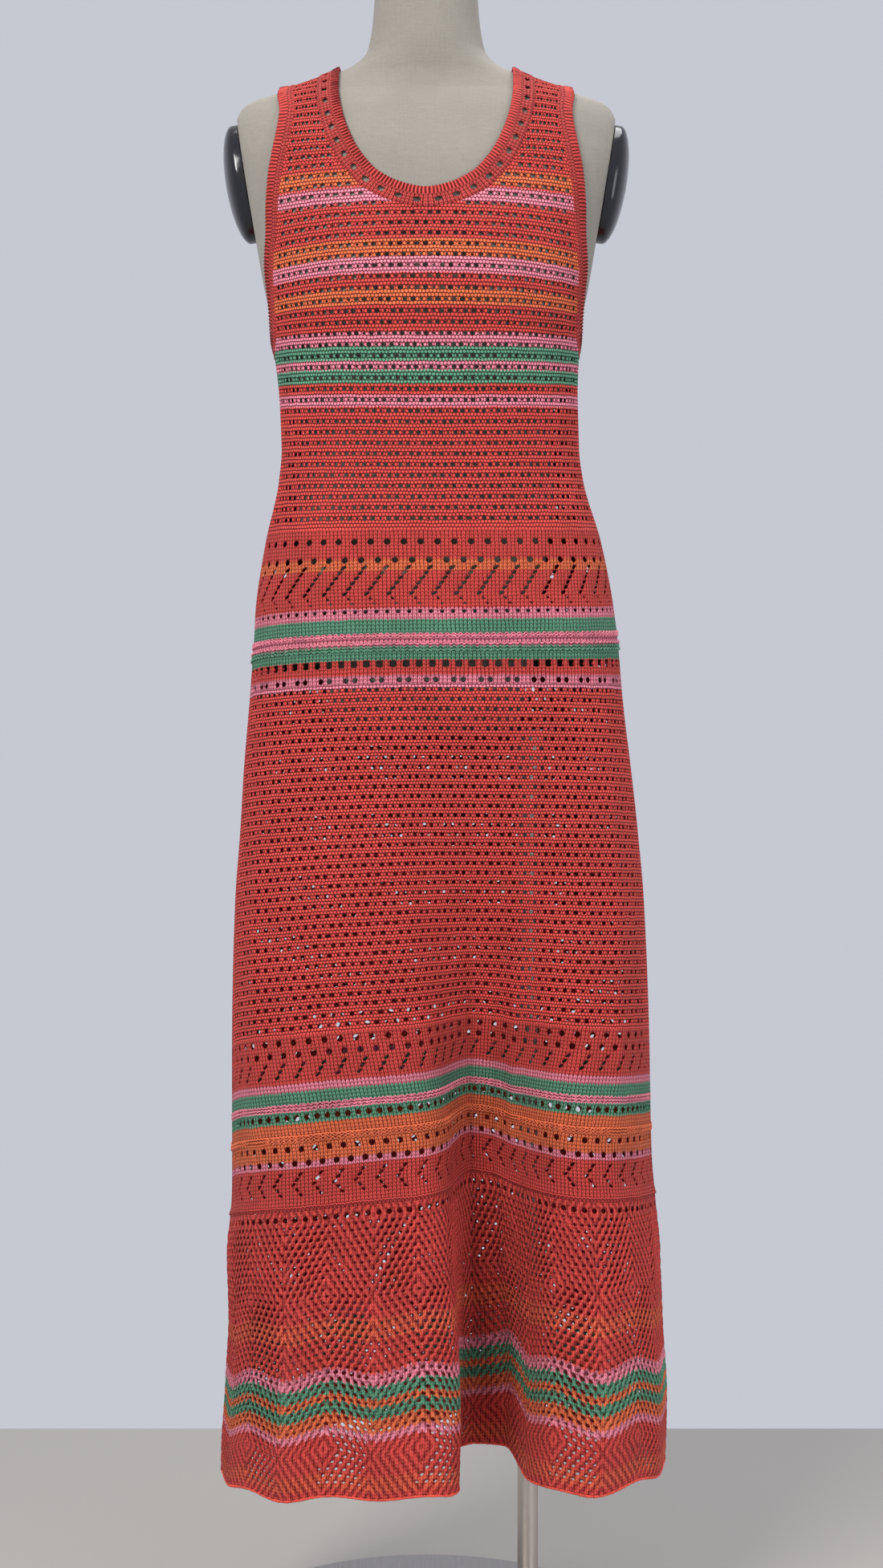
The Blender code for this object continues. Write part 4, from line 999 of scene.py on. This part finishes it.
# stripes as (lowest row, highest row, yarn), read where the rows cross the middle of the front
bodiceStripes = [
    (1.3604, 1.3751, "orange"), (1.3432, 1.3579, "pink"), (1.2907, 1.3068, "orange"),
    (1.2758, 1.2907, "pink"), (1.2483, 1.2630, "orange"), (1.2118, 1.2243, "pink"),
    (1.1989, 1.2118, "green"), (1.1909, 1.1989, "pink"), (1.1785, 1.1909, "green"),
    (1.1573, 1.1683, "pink"), (1.0065, 1.0168, "orange"), (0.9618, 0.9717, "pink"),
    (0.9489, 0.9618, "green"), (0.9369, 0.9489, "pink"),
]
skirtStripes = [
    (0.9369, 0.9489, "pink"), (0.9250, 0.9369, "green"), (0.8996, 0.9113, "pink"),
    (0.5434, 0.5506, "pink"), (0.5324, 0.5434, "green"), (0.5260, 0.5324, "pink"),
    (0.5152, 0.5260, "green"), (0.4819, 0.5152, "orange"), (0.4756, 0.4819, "pink"),
]
flounceStripes = [
    (0.2778, 0.2894, "pink"), (0.2660, 0.2778, "green"), (0.2592, 0.2660, "orange"),
    (0.2480, 0.2592, "green"), (0.2350, 0.2480, "orange"), (0.2280, 0.2350, "pink"),
    (0.3188, 0.3370, "orange", 0.6), (0.1790, 0.1940, "orange", 0.5),
]
meshSizes = {
    -1: {"pitch": 0.337 / 34, "repeat": 0.0215, "skirtPitch": 0.3075 / 35, "skirtRepeat": 0.0244,
         "big": (0.0047, 0.0040), "small": (0.0028, 0.0024)},
    1: {"pitch": 0.337 / 29, "repeat": 0.0280, "skirtPitch": 0.3075 / 27, "skirtRepeat": 0.0300,
        "big": (0.0032, 0.0028), "small": (0.0018, 0.0016)},
}
bodiceRows = {"foot": 1.0480, "tall": 0.337, "split": 0.9430}
hipGap = {-1: (0.0042, 0.0040, 4), 1: (0.0034, 0.0030, 1)}    # width, height, first column


def mossZone(low, high, top, pitch):
    # two courses of beads between the rows of gaps, which lie a third of the pitch down
    tall = pitch / 3
    return (low, high, "moss", top - 1.5 * tall, tall)


panels = {}


def cutArea(side, top, foot):
    # flat area of a panel between two rows, less its armholes and neck
    levels, spots = np.linspace(foot, top, 61), np.linspace(0, 1, 81)
    across, row = np.meshgrid(spots, levels)
    cut = insideCuts(clothBase(across.ravel(), row.ravel(), side), side).reshape(row.shape)
    widths = [rowLength(level, side) * (1 - float(np.mean(part)))
              for level, part in zip(levels, cut)]
    return (top - foot) * float(np.mean(widths)), max(widths)


split = bodiceRows["split"]
slash, back = (-1, 1, "slash"), (1, 0.9, "back")
for side, word in halves.items():
    size = meshSizes[side]
    start = bodiceRows["foot"] + bodiceRows["tall"] + (0 if side < 0 else 3 * size["pitch"])
    bodiceMaterial = knitMaterial(
        "striped cotton knit, " + word + " bodice", "red", bodiceStripes,
        [mossZone(1.0440, 1.60, start, size["pitch"]), (0.9448, 0.9496, "purl", 0.9470, 0.0026),
         (0.9330, 0.9408, "purl", 0.9395, 0.0028)])
    skirtMaterial = knitMaterial(
        "striped cotton knit, " + word + " skirt", "red", skirtStripes,
        [mossZone(0.5930, 0.9030, 0.9010, size["skirtPitch"]),
         (0.9325, 0.9408, "purl", 0.9395, 0.0028), (0.5262, 0.5320, "purl", 0.5291, 0.0027),
         (0.4980, 0.5060, "purl", 0.5016, 0.0028), (0.4396, 0.4420, "purl", 0.4408, 0.0024)])
    flounceMaterial = knitMaterial(
        "striped cotton lace knit, " + word + " flounce", "red", flounceStripes,
        diamonds=lace[side], jag=stitch["laceJag"])
    straps = [strapGrid(side, sign, start - 0.0002) for sign in (-1, 1)]
    upper = [
        meshPattern(side, start, bodiceRows["foot"], size["pitch"], size["repeat"], size["big"],
                    size["small"]),
        eyeletPattern(side, 1.0330, "round"),
        eyeletPattern(side, 1.0161, "round", shift=2),
        diagonalPattern(side, 1.0114, 0.0047,
                        [(0, 1.1, "slash"), *[slash] * 5, (1, 0.6, "back"), (1, 0.55, "back")],
                        *hipGap[side]),
        eyeletPattern(side, 0.9688, "fine", shift=1, step=3),
        plainPattern(side, rowsBetween(0.9620, 0.9505, 0.0038)),
        plainPattern(side, rowsBetween(0.9490, split, 0.0020)),
    ]
    if side > 0:                  # two more rows go under the back's straps
        upper.insert(0, plainPattern(side, [start + 0.0035, start + 0.0017]))
    bodice = panelPiece(word + "Bodice", side, upper, bodiceMaterial, word + "_panel", straps,
                        start)
    lower = [
        plainPattern(side, rowsBetween(split, 0.9325, 0.0018)),
        plainPattern(side, [0.9300, 0.9266]),
        eyeletPattern(side, 0.9214, "large"),
        eyeletPattern(side, 0.9068, "paired", step=2),
        meshPattern(side, 0.9010, 0.5935, size["skirtPitch"], size["skirtRepeat"], size["big"],
                    size["small"]),
        eyeletPattern(side, 0.5870, "round"),
        eyeletPattern(side, 0.5762, "round", shift=2),
        diagonalPattern(side, 0.5700, 0.0051, [(0, 1, "slash"), slash, slash],
                        0.0042, 0.0042, 4),
        plainPattern(side, rowsBetween(0.5520, 0.5260, 0.0045)),
        eyeletPattern(side, 0.5205, "close"),
        plainPattern(side, rowsBetween(0.5140, 0.5060, 0.0040)),
        plainPattern(side, rowsBetween(0.5044, 0.4988, 0.0014)),
        eyeletPattern(side, 0.4928, "bandUpper"),
        eyeletPattern(side, 0.4802, "bandLower", shift=2),
        diagonalPattern(side, 0.4725, 0.0046, [(0, 1, "slash"), slash, slash, back, back],
                        0.0040, 0.0038, 4),
        plainPattern(side, rowsBetween(0.4470, 0.4400, 0.0018)),
        plainPattern(side, rowsBetween(0.4385, dress["seam"], 0.0012)),
    ]
    skirt = panelPiece(word + "Skirt", side, lower, skirtMaterial, word + "_panel")
    ruffle = [
        plainPattern(side, rowsBetween(dress["seam"] - 0.0003, 0.4335, 0.0018)),
        eyeletPattern(side, 0.4291, "seam"),
        lacePattern(side),
        plainPattern(side, rowsBetween(0.1785, dress["hem"], 0.0031)),
    ]
    flounce = panelPiece(word + "Flounce", side, ruffle, flounceMaterial, "flounce_" + word,
                         laced=True)
    panels[word] = {"bodice": bodice, "skirt": skirt, "flounce": flounce, "trim": [],
                    "start": start}
    print(word, triangles(bodice), triangles(skirt), triangles(flounce))


def yarnMaterial(name, tone):
    # Plied cotton yarn, matt: fine twist lines and loose fibres.
    material, add, shader = newMaterial(name, 0.9, Sheen_Weight=0.06)
    coords = add("ShaderNodeTexCoord", out=3)
    fibres = add("ShaderNodeTexNoise", {"Vector": coords, "Scale": 1300.0, "Detail": 2.0})
    blot = add("ShaderNodeTexNoise", {"Vector": coords, "Scale": 60.0, "Detail": 2.0})
    both = add("ShaderNodeMath", (fibres, blot), operation="ADD")
    light = add("ShaderNodeMapRange", (both, 0.75, 1.25, 0.62, 1.05))
    shade = add("ShaderNodeVectorMath", {0: linear(yarn[tone])[:3], "Scale": light},
                operation="SCALE")
    bump = add("ShaderNodeBump", {"Height": fibres, "Distance": 0.0003, "Strength": 0.7})
    connect(shader, {"Base Color": shade, "Normal": bump})
    return material


yarnMaterials = {tone: yarnMaterial("plied cotton yarn, " + tone, tone)
                 for tone in ("pink", "green", "orange", "coral")}


def newTree(name, sockets):
    # a Geometry Nodes tree whose inputs are named sizes
    tree = bpy.data.node_groups.new(name, "GeometryNodeTree")
    for way in ("INPUT", "OUTPUT"):
        tree.interface.new_socket("Geometry", in_out=way, socket_type="NodeSocketGeometry")
    for label, kind in sockets.items():
        tree.interface.new_socket(label, in_out="INPUT", socket_type="NodeSocket" + kind)
    given = tree.nodes.new("NodeGroupInput").outputs
    return tree, partial(addNode, tree), given, tree.nodes.new("NodeGroupOutput")


def endTree(add, shape, given, result):
    # makes the copies real and gives them the yarn's material
    whole = add("GeometryNodeRealizeInstances", [shape])
    smooth = add("GeometryNodeSetShadeSmooth", [whole])
    coloured = add("GeometryNodeSetMaterial", {0: smooth, "Material": given["Yarn"]})
    connect(result, {0: coloured})


def cordTree():
    # a yarn swept along each line of points
    tree, add, given, result = newTree(
        "wavy yarn", {"Yarn radius": "Float", "Sides": "Int", "Yarn": "Material"})
    curve = add("GeometryNodeMeshToCurve", [given[0]])
    section = add("GeometryNodeCurvePrimitiveCircle",
                  {"Resolution": given["Sides"], "Radius": given["Yarn radius"]})
    swept = add("GeometryNodeCurveToMesh", {0: curve, 1: section, "Fill Caps": True})
    endTree(add, swept, given, result)
    return tree


def loopTree():
    # a small knitted loop at each point, turned along the edge and a little uneven
    tree, add, given, result = newTree(
        "hem loops", {"Loop length": "Float", "Loop width": "Float", "Unevenness": "Float",
                      "Seed": "Int", "Yarn": "Material"})
    curve = add("GeometryNodeMeshToCurve", [given[0]])
    points = add("GeometryNodeCurveToPoints", {0: curve, "Length": given["Loop length"]},
                 out=None, mode="LENGTH").outputs
    bead = add("GeometryNodeMeshUVSphere",
               {"Segments": 7, "Rings": 4, "Radius": given["Loop width"]})
    low, high = (add("ShaderNodeMath", (1.0, given["Unevenness"]), operation=way)
                 for way in ("SUBTRACT", "ADD"))
    size = add("FunctionNodeRandomValue", {2: low, 3: high, "Seed": given["Seed"]}, out=1,
               data_type="FLOAT")
    stretch = add("ShaderNodeCombineXYZ", (size, size, 1.15))
    placed = add("GeometryNodeInstanceOnPoints",
                 {"Points": points[0], "Instance": bead, "Rotation": points["Rotation"],
                  "Scale": stretch})
    endTree(add, placed, given, result)
    return tree


cordNodes, loopNodes = cordTree(), loopTree()


def grown(name, lines, tree, values, slot):
    # lines of points, grown into yarn by a tree
    mesh = bpy.data.meshes.new(name)
    points = np.concatenate(lines)
    edges, start = [], 0
    for line in lines:
        edges += [(start + i, start + i + 1) for i in range(len(line) - 1)]
        start += len(line)
    mesh.from_pydata(points.tolist(), edges, [])
    piece = newPiece(name, mesh)
    growth = piece.modifiers.new("Yarn", "NODES")
    growth.node_group = tree
    for item in tree.interface.items_tree:
        if item.in_out == "INPUT" and item.name in values:
            growth[item.identifier] = values[item.name]
    applyModifiers(piece)
    return handIn(piece, slot)


lineEnds = {"long": 0.005, "deep": 0.0012}    # a row's yarns turn in at the side seams


def surfaceLine(side, row, out, step, swing=0.0, pitch=1.0):
    # points along a knitted row, waving up and down across the stitches
    length = rowLength(row, side)
    count = round(length / step)
    share = np.arange(count + 1) / count
    rows = row + swing * np.sin(2 * np.pi * share * round(length / pitch))
    points = clothBase(share, rows, side)
    near = 0.0005
    aside = clothBase(np.clip(share + near, 0, 1), rows, side) - clothBase(
        np.clip(share - near, 0, 1), rows, side)
    upward = clothBase(share, rows + near, side) - clothBase(share, rows - near, side)
    normals = unit(np.cross(aside, upward)) * (1 if side < 0 else -1)
    tuck = np.clip(np.minimum(share, 1 - share) * length / lineEnds["long"], 0, 1)
    return points + normals * (out - lineEnds["deep"] * (1 - tuck))[:, None]


purlRows = [  # row, yarn
    (0.9482, "pink"), (0.9456, "pink"), (0.9395, "pink"), (0.9367, "green"), (0.9338, "green"),
    (0.5318, "pink"), (0.5288, "pink"), (0.5030, "orange"), (0.5002, "orange"),
]
purlYarn = {  # the waves are drawn larger than the stitches to show in a render
    "radius": 0.00068, "swing": 0.00100, "pitch": 0.0060, "sides": 3, "off": 0.0005,
    "step": {-1: 0.00115, 1: 0.0015},
}
hemLoops = {"Loop length": 0.0026, "Loop width": 0.00165, "Unevenness": 0.14, "Seed": 4,
            "Yarn": yarnMaterials["coral"]}
for side, word in halves.items():
    for tone in sorted({own for _, own in purlRows}):
        lines = []
        for row, own in purlRows:
            if own == tone:
                out = dress["outer"] + purlYarn["off"] + 0.7 * float(rowRelief(np.array(row)))
                lines.append(surfaceLine(side, row, out, purlYarn["step"][side],
                                         purlYarn["swing"], purlYarn["pitch"]))
        ridge = grown(word + "Purl" + tone.capitalize(), lines, cordNodes,
                      {"Yarn radius": purlYarn["radius"], "Sides": purlYarn["sides"],
                       "Yarn": yarnMaterials[tone]}, "knit")
        panels[word]["trim"].append(ridge)
        print(ridge.name, triangles(ridge))
    hemLine = surfaceLine(side, dress["hem"] + 0.0008, dress["outer"] - 0.0006, 0.003)
    hem = grown(word + "Hem", [hemLine], loopNodes, hemLoops, "knit")
    panels[word]["hem"] = hem
    print(hem.name, triangles(hem))


def bandPiece(name, path, wide, rib, nodes, openwork=None):
    # a ribbed edge and a flat part, which may have a row of eyelets
    grid = KnitGrid(closed=True)
    rim = bands["rim"]
    ribs = round(path.length / bands["ribPitch"])
    material = knitMaterial("red cotton rib knit, " + name, "rib",
                            zones=[(1.9 - rib, 2.0, "rib", 0.0, 0.0016)],
                            wide=path.length / ribs)
    grid.zone([0.0, -0.0006, -0.0018, -(rib - 0.0006), -rib], 4 * ribs, (), path.length)
    if openwork:
        count = 4 * round(path.length / openwork["pitch"])
        level, half = openwork["row"], openwork["half"]
        rows = [-(rib + rim), -(level - half), -level, -(level + half), -(wide - rim), -wide]
        holes = [(1, 4 * q + 1, openwork["wide"], openwork["tall"]) for q in range(count // 4)]
        grid.zone(rows, count, holes, path.length)
    else:
        grid.zone([-(rib + 0.001), -(rib + 0.0035), -(wide - rim), -wide], 2 * ribs, (),
                  path.length)
    share, off = np.array(grid.share), -np.array(grid.row)
    points = path.place(share, off)
    normals = unit(slopeOf(points))
    ribWave = 0.5 + 0.5 * np.cos(2 * np.pi * ribs * share)
    inRib = np.clip((rib - off) / rim, 0, 1)
    roll = np.clip(1 - off / rim, 0, 1) ** 2
    out = dress["outer"] + bands["raise"] - dress["dip"] * np.array(grid.hole)
    out = out + inRib * bands["ribDeep"] * ribWave - 0.0012 * roll
    out = out - 0.0006 * np.clip((off - (wide - rim)) / rim, 0, 1)
    faces = grid.faces
    if np.sum(vertexNormals(points, faces) * normals) < 0:
        faces = [face[::-1] for face in faces]
    points = points + normals * out[:, None]
    uvs = np.stack([share * path.length, 1.9 - off], axis=-1)
    return clothPiece(name, points, faces, uvs, material, "rib", bands["thick"], nodes)


neckBand = bandPiece("neckBand", neckPath, bands["neckWide"], bands["neckRib"],
                     ["neck_band_front", "neck_band_back"],
                     {"pitch": 0.0147, "row": 0.0138, "half": 0.0036, "wide": 0.0062,
                      "tall": 0.0052})
for sign, word in ((-1, "left"), (1, "right")):
    bandPiece(word + "ArmholeBand", armPaths[sign], bands["armWide"],
                               bands["armRib"], ["armhole_band_" + word])

# the flat area and widest row of each panel, as it was knitted and before it was hung
for side, word in halves.items():
    own = panels[word]
    area, wide = cutArea(side, own["start"], split)
    area += 2 * strapSizes["wide"] * strapSizes["long"]
    area, wide = cutArea(side, split, dress["seam"])
    area, wide = cutArea(side, dress["seam"], dress["hem"])


def linenMaterial():
    # Plain-weave linen stretched over the padded form: fine threads with slubs, matt.
    material, add, shader = newMaterial("natural plain-weave linen", 0.88, Sheen_Weight=0.15)
    coords = add("ShaderNodeTexCoord", out=3)
    threads = 0.0009          # threads lie 0.45 mm apart, drawn twice as coarse to show
    waves = [add("ShaderNodeTexWave",
                 {"Vector": coords, "Scale": math.pi / 10 / threads, "Distortion": 2.5,
                  "Detail": 2.0, "Detail Scale": 2.0},
                 out=1, wave_type="BANDS", bands_direction=axis) for axis in ("X", "Z")]
    weave = add("ShaderNodeMath", waves, operation="ADD")
    slubs = []
    for stretch in ((900.0, 900.0, 90.0), (90.0, 90.0, 900.0)):
        drawn = add("ShaderNodeMapping", {"Vector": coords, "Scale": stretch})
        slubs.append(add("ShaderNodeTexNoise", {"Vector": drawn, "Scale": 1.0, "Detail": 3.0}))
    mixed = add("ShaderNodeMath", slubs, operation="ADD")
    both = add("ShaderNodeMath", (mixed, 1.4, weave), operation="MULTIPLY_ADD")
    tone = add("ShaderNodeMapRange", (both, 0.7, 3.2))
    colour = add("ShaderNodeMix", {0: tone, 6: linear("#7E776C"), 7: linear("#999488")},
                 out=2, data_type="RGBA")
    dust = add("ShaderNodeTexNoise", {"Vector": coords, "Scale": 14.0, "Detail": 4.0})
    soiled = add("ShaderNodeMapRange", (dust, 0.35, 0.7, 1.0, 0.90))
    shade = add("ShaderNodeVectorMath", {0: colour, "Scale": soiled}, operation="SCALE")
    bump = add("ShaderNodeBump", {"Height": both, "Distance": 0.0003, "Strength": 0.5})
    connect(shader, {"Base Color": shade, "Normal": bump})
    return material


def plasticMaterial():
    # Glossy black ABS, moulded: sharp reflections with a little ripple and dust.
    material, add, shader = newMaterial("black moulded ABS", 0.16, IOR=1.5)
    coords = add("ShaderNodeTexCoord", out=3)
    ripple = add("ShaderNodeTexNoise", {"Vector": coords, "Scale": 22.0, "Detail": 1.0})
    bump = add("ShaderNodeBump", {"Height": ripple, "Distance": 0.0006, "Strength": 0.25})
    smear = add("ShaderNodeTexNoise", {"Vector": coords, "Scale": 60.0, "Detail": 3.0})
    gloss = add("ShaderNodeMapRange", (smear, 0.4, 0.8, 0.12, 0.26))
    connect(shader, {"Base Color": linear("#15151A"), "Normal": bump, "Roughness": gloss})
    return material


def steelMaterial(name, colour, roughness, grain):
    # Satin chromed or brushed steel: grain runs along or round the piece.
    material, add, shader = newMaterial(name, roughness, Metallic=1.0)
    coords = add("ShaderNodeTexCoord", out=3)
    scale = add("ShaderNodeMapping", {"Vector": coords, "Scale": grain})
    brush = add("ShaderNodeTexNoise", {"Vector": scale, "Scale": 1.0, "Detail": 3.0})
    rough = add("ShaderNodeMapRange", (brush, 0.3, 0.7, roughness - 0.08, roughness + 0.1))
    bump = add("ShaderNodeBump", {"Height": brush, "Distance": 0.00008, "Strength": 0.3})
    connect(shader, {"Base Color": linear(colour), "Normal": bump, "Roughness": rough})
    return material


linen = linenMaterial()
plastic = plasticMaterial()
steel = steelMaterial("satin steel tube", "#C9C0B8", 0.34, (900.0, 900.0, 40.0))
brushed = steelMaterial("brushed steel plate", "#A19D99", 0.38, (700.0, 30.0, 700.0))

torsoSizes = {"around": 96, "rows": 66, "shoulder": (1.455, 1.515, 28), "sharp": 40}
plateTop, plateFoot = (0.180, 1.443), (0.162, 1.332)


def torsoPiece():
    low, high = formRows[0][0], formRows[-1][0]
    heights = np.unique(np.concatenate([
        np.linspace(low, high, torsoSizes["rows"]), [row[0] for row in formRows],
        np.linspace(*torsoSizes["shoulder"])]))
    around = torsoSizes["around"]
    turns = 2 * np.pi * np.arange(around) / around
    shell = bmesh.new()
    rings = []
    for z in heights:
        points = np.where((turns > np.pi)[:, None],
                          bodyPoint(z + 0 * turns, 2 * np.pi - turns, -1, False),
                          bodyPoint(z + 0 * turns, turns, 1, False))
        rings.append([shell.verts.new(point) for point in points])
    for below, above in zip(rings, rings[1:]):
        for i in range(around):
            j = (i + 1) % around
            shell.faces.new((below[i], below[j], above[j], above[i]))
    shell.faces.new(rings[0][::-1])
    shell.faces.new(rings[-1])
    rise, run = plateTop[1] - plateFoot[1], plateTop[0] - plateFoot[0]
    for sign in (-1, 1):
        cut = bmesh.ops.bisect_plane(shell, geom=shell.verts[:] + shell.edges[:] + shell.faces[:],
                                     plane_co=(sign * plateTop[0], 0, plateTop[1]),
                                     plane_no=(sign * rise, 0, -run), clear_outer=True)
        rim = [item for item in cut["geom_cut"] if isinstance(item, bmesh.types.BMEdge)]
        bmesh.ops.edgenet_fill(shell, edges=rim)
    bmesh.ops.remove_doubles(shell, verts=shell.verts, dist=0.00002)
    bmesh.ops.recalc_face_normals(shell, faces=shell.faces)
    mesh = bpy.data.meshes.new("linenTorso")
    shell.to_mesh(mesh)
    shell.free()
    mesh.shade_smooth()
    mesh.set_sharp_from_angle(angle=math.radians(torsoSizes["sharp"]))
    mesh.materials.append(linen)
    handIn(newPiece("linenTorso", mesh), "linen", "form_torso")


torsoPiece()


def turnedPiece(name, profile, segments, material, slot, node, scale=(1, 1, 1), tilt=0.0,
                place=(0, 0, 0)):
    # a turned shape from its radius and height, listed from the top down
    mesh = bpy.data.meshes.new(name)
    ring = profile[0] == profile[-1]
    spots = profile[:-1] if ring else profile
    count = len(spots)
    mesh.from_pydata([(radius, 0, z) for radius, z in spots],
                     [(i, (i + 1) % count) for i in range(count if ring else count - 1)], [])
    piece = newPiece(name, mesh)
    screw = piece.modifiers.new("Turn", "SCREW")
    screw.steps = screw.render_steps = segments
    screw.use_merge_vertices = True
    screw.merge_threshold = 0.00002
    applyModifiers(piece)
    shell = bmesh.new()
    shell.from_mesh(piece.data)
    bmesh.ops.recalc_face_normals(shell, faces=shell.faces)
    for vert in shell.verts:
        x, y, z = vert.co.x * scale[0], vert.co.y * scale[1], vert.co.z * scale[2]
        vert.co = (x * math.cos(tilt) + z * math.sin(tilt) + place[0], y + place[1],
                   z * math.cos(tilt) - x * math.sin(tilt) + place[2])
    shell.to_mesh(piece.data)
    shell.free()
    piece.data.shade_smooth()
    piece.data.set_sharp_from_angle(angle=math.radians(35))
    piece.data.materials.append(material)
    handIn(piece, slot, node)


plate = {"halfDeep": 0.040, "halfTall": 0.0565, "bulge": 0.021, "rim": 0.006}
lean = math.atan2(plateTop[0] - plateFoot[0], plateTop[1] - plateFoot[1])
dome = [(0.0, plate["bulge"])]
for i in range(1, 19):
    turn = math.radians(5 * i)
    dome.append((plate["halfTall"] * math.sin(turn),
                 plate["rim"] + (plate["bulge"] - plate["rim"]) * math.cos(turn)))
dome += [(plate["halfTall"], 0.0012), (plate["halfTall"] - 0.0009, 0.0003), (0.0, 0.0003)]
for sign, word in ((-1, "left"), (1, "right")):
    turnedPiece(word + "ArmPlate", dome, 96, plastic, "black_plastic", "arm_plate_" + word,
                scale=(1, plate["halfDeep"] / plate["halfTall"], 1),
                tilt=sign * (math.pi / 2 + lean),
                place=(sign * (plateTop[0] + plateFoot[0]) / 2, 0,
                       (plateTop[1] + plateFoot[1]) / 2))

neckCapSizes = {"x": 0.0475, "y": 0.051, "thick": 0.006, "foot": formRows[-1][0] + 0.0003}
soft = [(0.003 * (1 - math.cos(math.radians(a))), 0.003 * (1 - math.sin(math.radians(a))))
        for a in range(90, -1, -15)]          # a rounded upper edge: inset, drop
capRim, capThick = neckCapSizes["x"], neckCapSizes["thick"]
capProfile = [(0, capThick), *[(capRim - inset, capThick - drop) for inset, drop in soft],
              (capRim, 0.0), (0, 0.0)]
turnedPiece("neckCap", capProfile, 96, plastic, "black_plastic", "neck_cap",
            scale=(1, neckCapSizes["y"] / neckCapSizes["x"], 1), place=(0, 0, neckCapSizes["foot"]))

pole = {"x": 0.0985, "y": 0.035, "radius": 0.010, "top": 0.8560}
base = {"radius": 0.195, "thick": 0.008}
polePlace = (pole["x"], pole["y"], 0)
footZ = base["thick"] + 0.0003
bore = pole["radius"] + 0.0003
turnedPiece("standPole", [(0, pole["top"]), (0.0092, pole["top"]),
                          (pole["radius"], pole["top"] - 0.0008), (pole["radius"], footZ),
                          (0, footZ)], 64, steel, "steel", "stand_pole",
            place=polePlace)
turnedPiece("standFlange", [(bore, footZ + 0.014), (bore + 0.004, footZ + 0.014),
                            (bore + 0.0055, footZ + 0.0132), (bore + 0.007, footZ + 0.011),
                            (0.0265, footZ + 0.0035), (0.0276, footZ + 0.0028),
                            (0.028, footZ + 0.0018), (0.028, footZ), (bore, footZ),
                            (bore, footZ + 0.014)],
            64, steel, "steel", "stand_flange", place=polePlace)
plateZ = formRows[0][0] - 0.0003
turnedPiece("poleSocket", [(0, plateZ), (0.0272, plateZ), (0.028, plateZ - 0.0008),
                           (0.028, plateZ - 0.0040), (0.018, plateZ - 0.006), (0.018, 0.8268),
                           (0.0172, 0.8260), (bore, 0.8260), (bore, plateZ - 0.006),
                           (0, plateZ - 0.006)], 64, steel, "steel", "pole_socket", place=polePlace)
baseProfile = [(0, base["thick"]),
               *[(base["radius"] - inset, base["thick"] - drop) for inset, drop in soft],
               (base["radius"], 0.0006), (base["radius"] - 0.0006, 0.0), (0, 0.0)]
turnedPiece("standBase", baseProfile, 128, brushed, "steel", "stand_base")
print("form and stand done")


floor = {"half": 0.69, "drop": 0.0005, "colour": "#A5A29C", "roughness": 0.6}


def paleFloor():
    # Matt painted board, plain and pale.
    half, mesh = floor["half"], bpy.data.meshes.new("floor")
    corners = [(-half, -half), (half, -half), (half, half), (-half, half)]
    mesh.from_pydata([(x, y, -floor["drop"]) for x, y in corners], [], [(0, 1, 2, 3)])
    material, _, shader = newMaterial("matt floor paint", floor["roughness"])
    connect(shader, {"Base Color": linear(floor["colour"])})
    mesh.materials.append(material)
    newPiece("floor", mesh)


paleFloor()
world = bpy.data.worlds.new("studio")
bpy.context.scene.world = world
world.use_nodes = True
connect(world.node_tree.nodes["Background"], {0: linear("#C6C8D2"), 1: 1.0})


def areaLight(name, place, aim, size, power, colour):
    light = bpy.data.lights.new(name, "AREA")
    light.size, light.energy, light.color = size, power, colour
    lamp = bpy.data.objects.new(name, light)
    lamp.location = place
    lamp.rotation_euler = (Vector(aim) - Vector(place)).to_track_quat("-Z", "Y").to_euler()
    bpy.context.scene.collection.objects.link(lamp)


areaLight("key", (-1.5, -2.6, 2.9), (0, 0, 1.0), 1.2, 100, (1.0, 0.98, 0.96))
areaLight("fill", (2.4, -2.4, 1.2), (0, 0, 0.8), 2.0, 40, (0.97, 0.98, 1.0))
areaLight("top", (0.3, 0.4, 3.2), (0, 0, 1.2), 1.4, 32, (1.0, 1.0, 1.0))

cameraSizes = {"x": 0.0146, "y": -2.2, "z": 0.812, "lens": 52.64, "sensor": 36.0}
cameraData = bpy.data.cameras.new("camera")
cameraData.lens, cameraData.sensor_width = cameraSizes["lens"], cameraSizes["sensor"]
camera = bpy.data.objects.new("camera", cameraData)
camera.location = (cameraSizes["x"], cameraSizes["y"], cameraSizes["z"])
camera.rotation_euler = (math.pi / 2, 0, 0)
bpy.context.scene.collection.objects.link(camera)
bpy.context.scene.camera = camera
bpy.context.scene.view_settings.view_transform = "Standard"
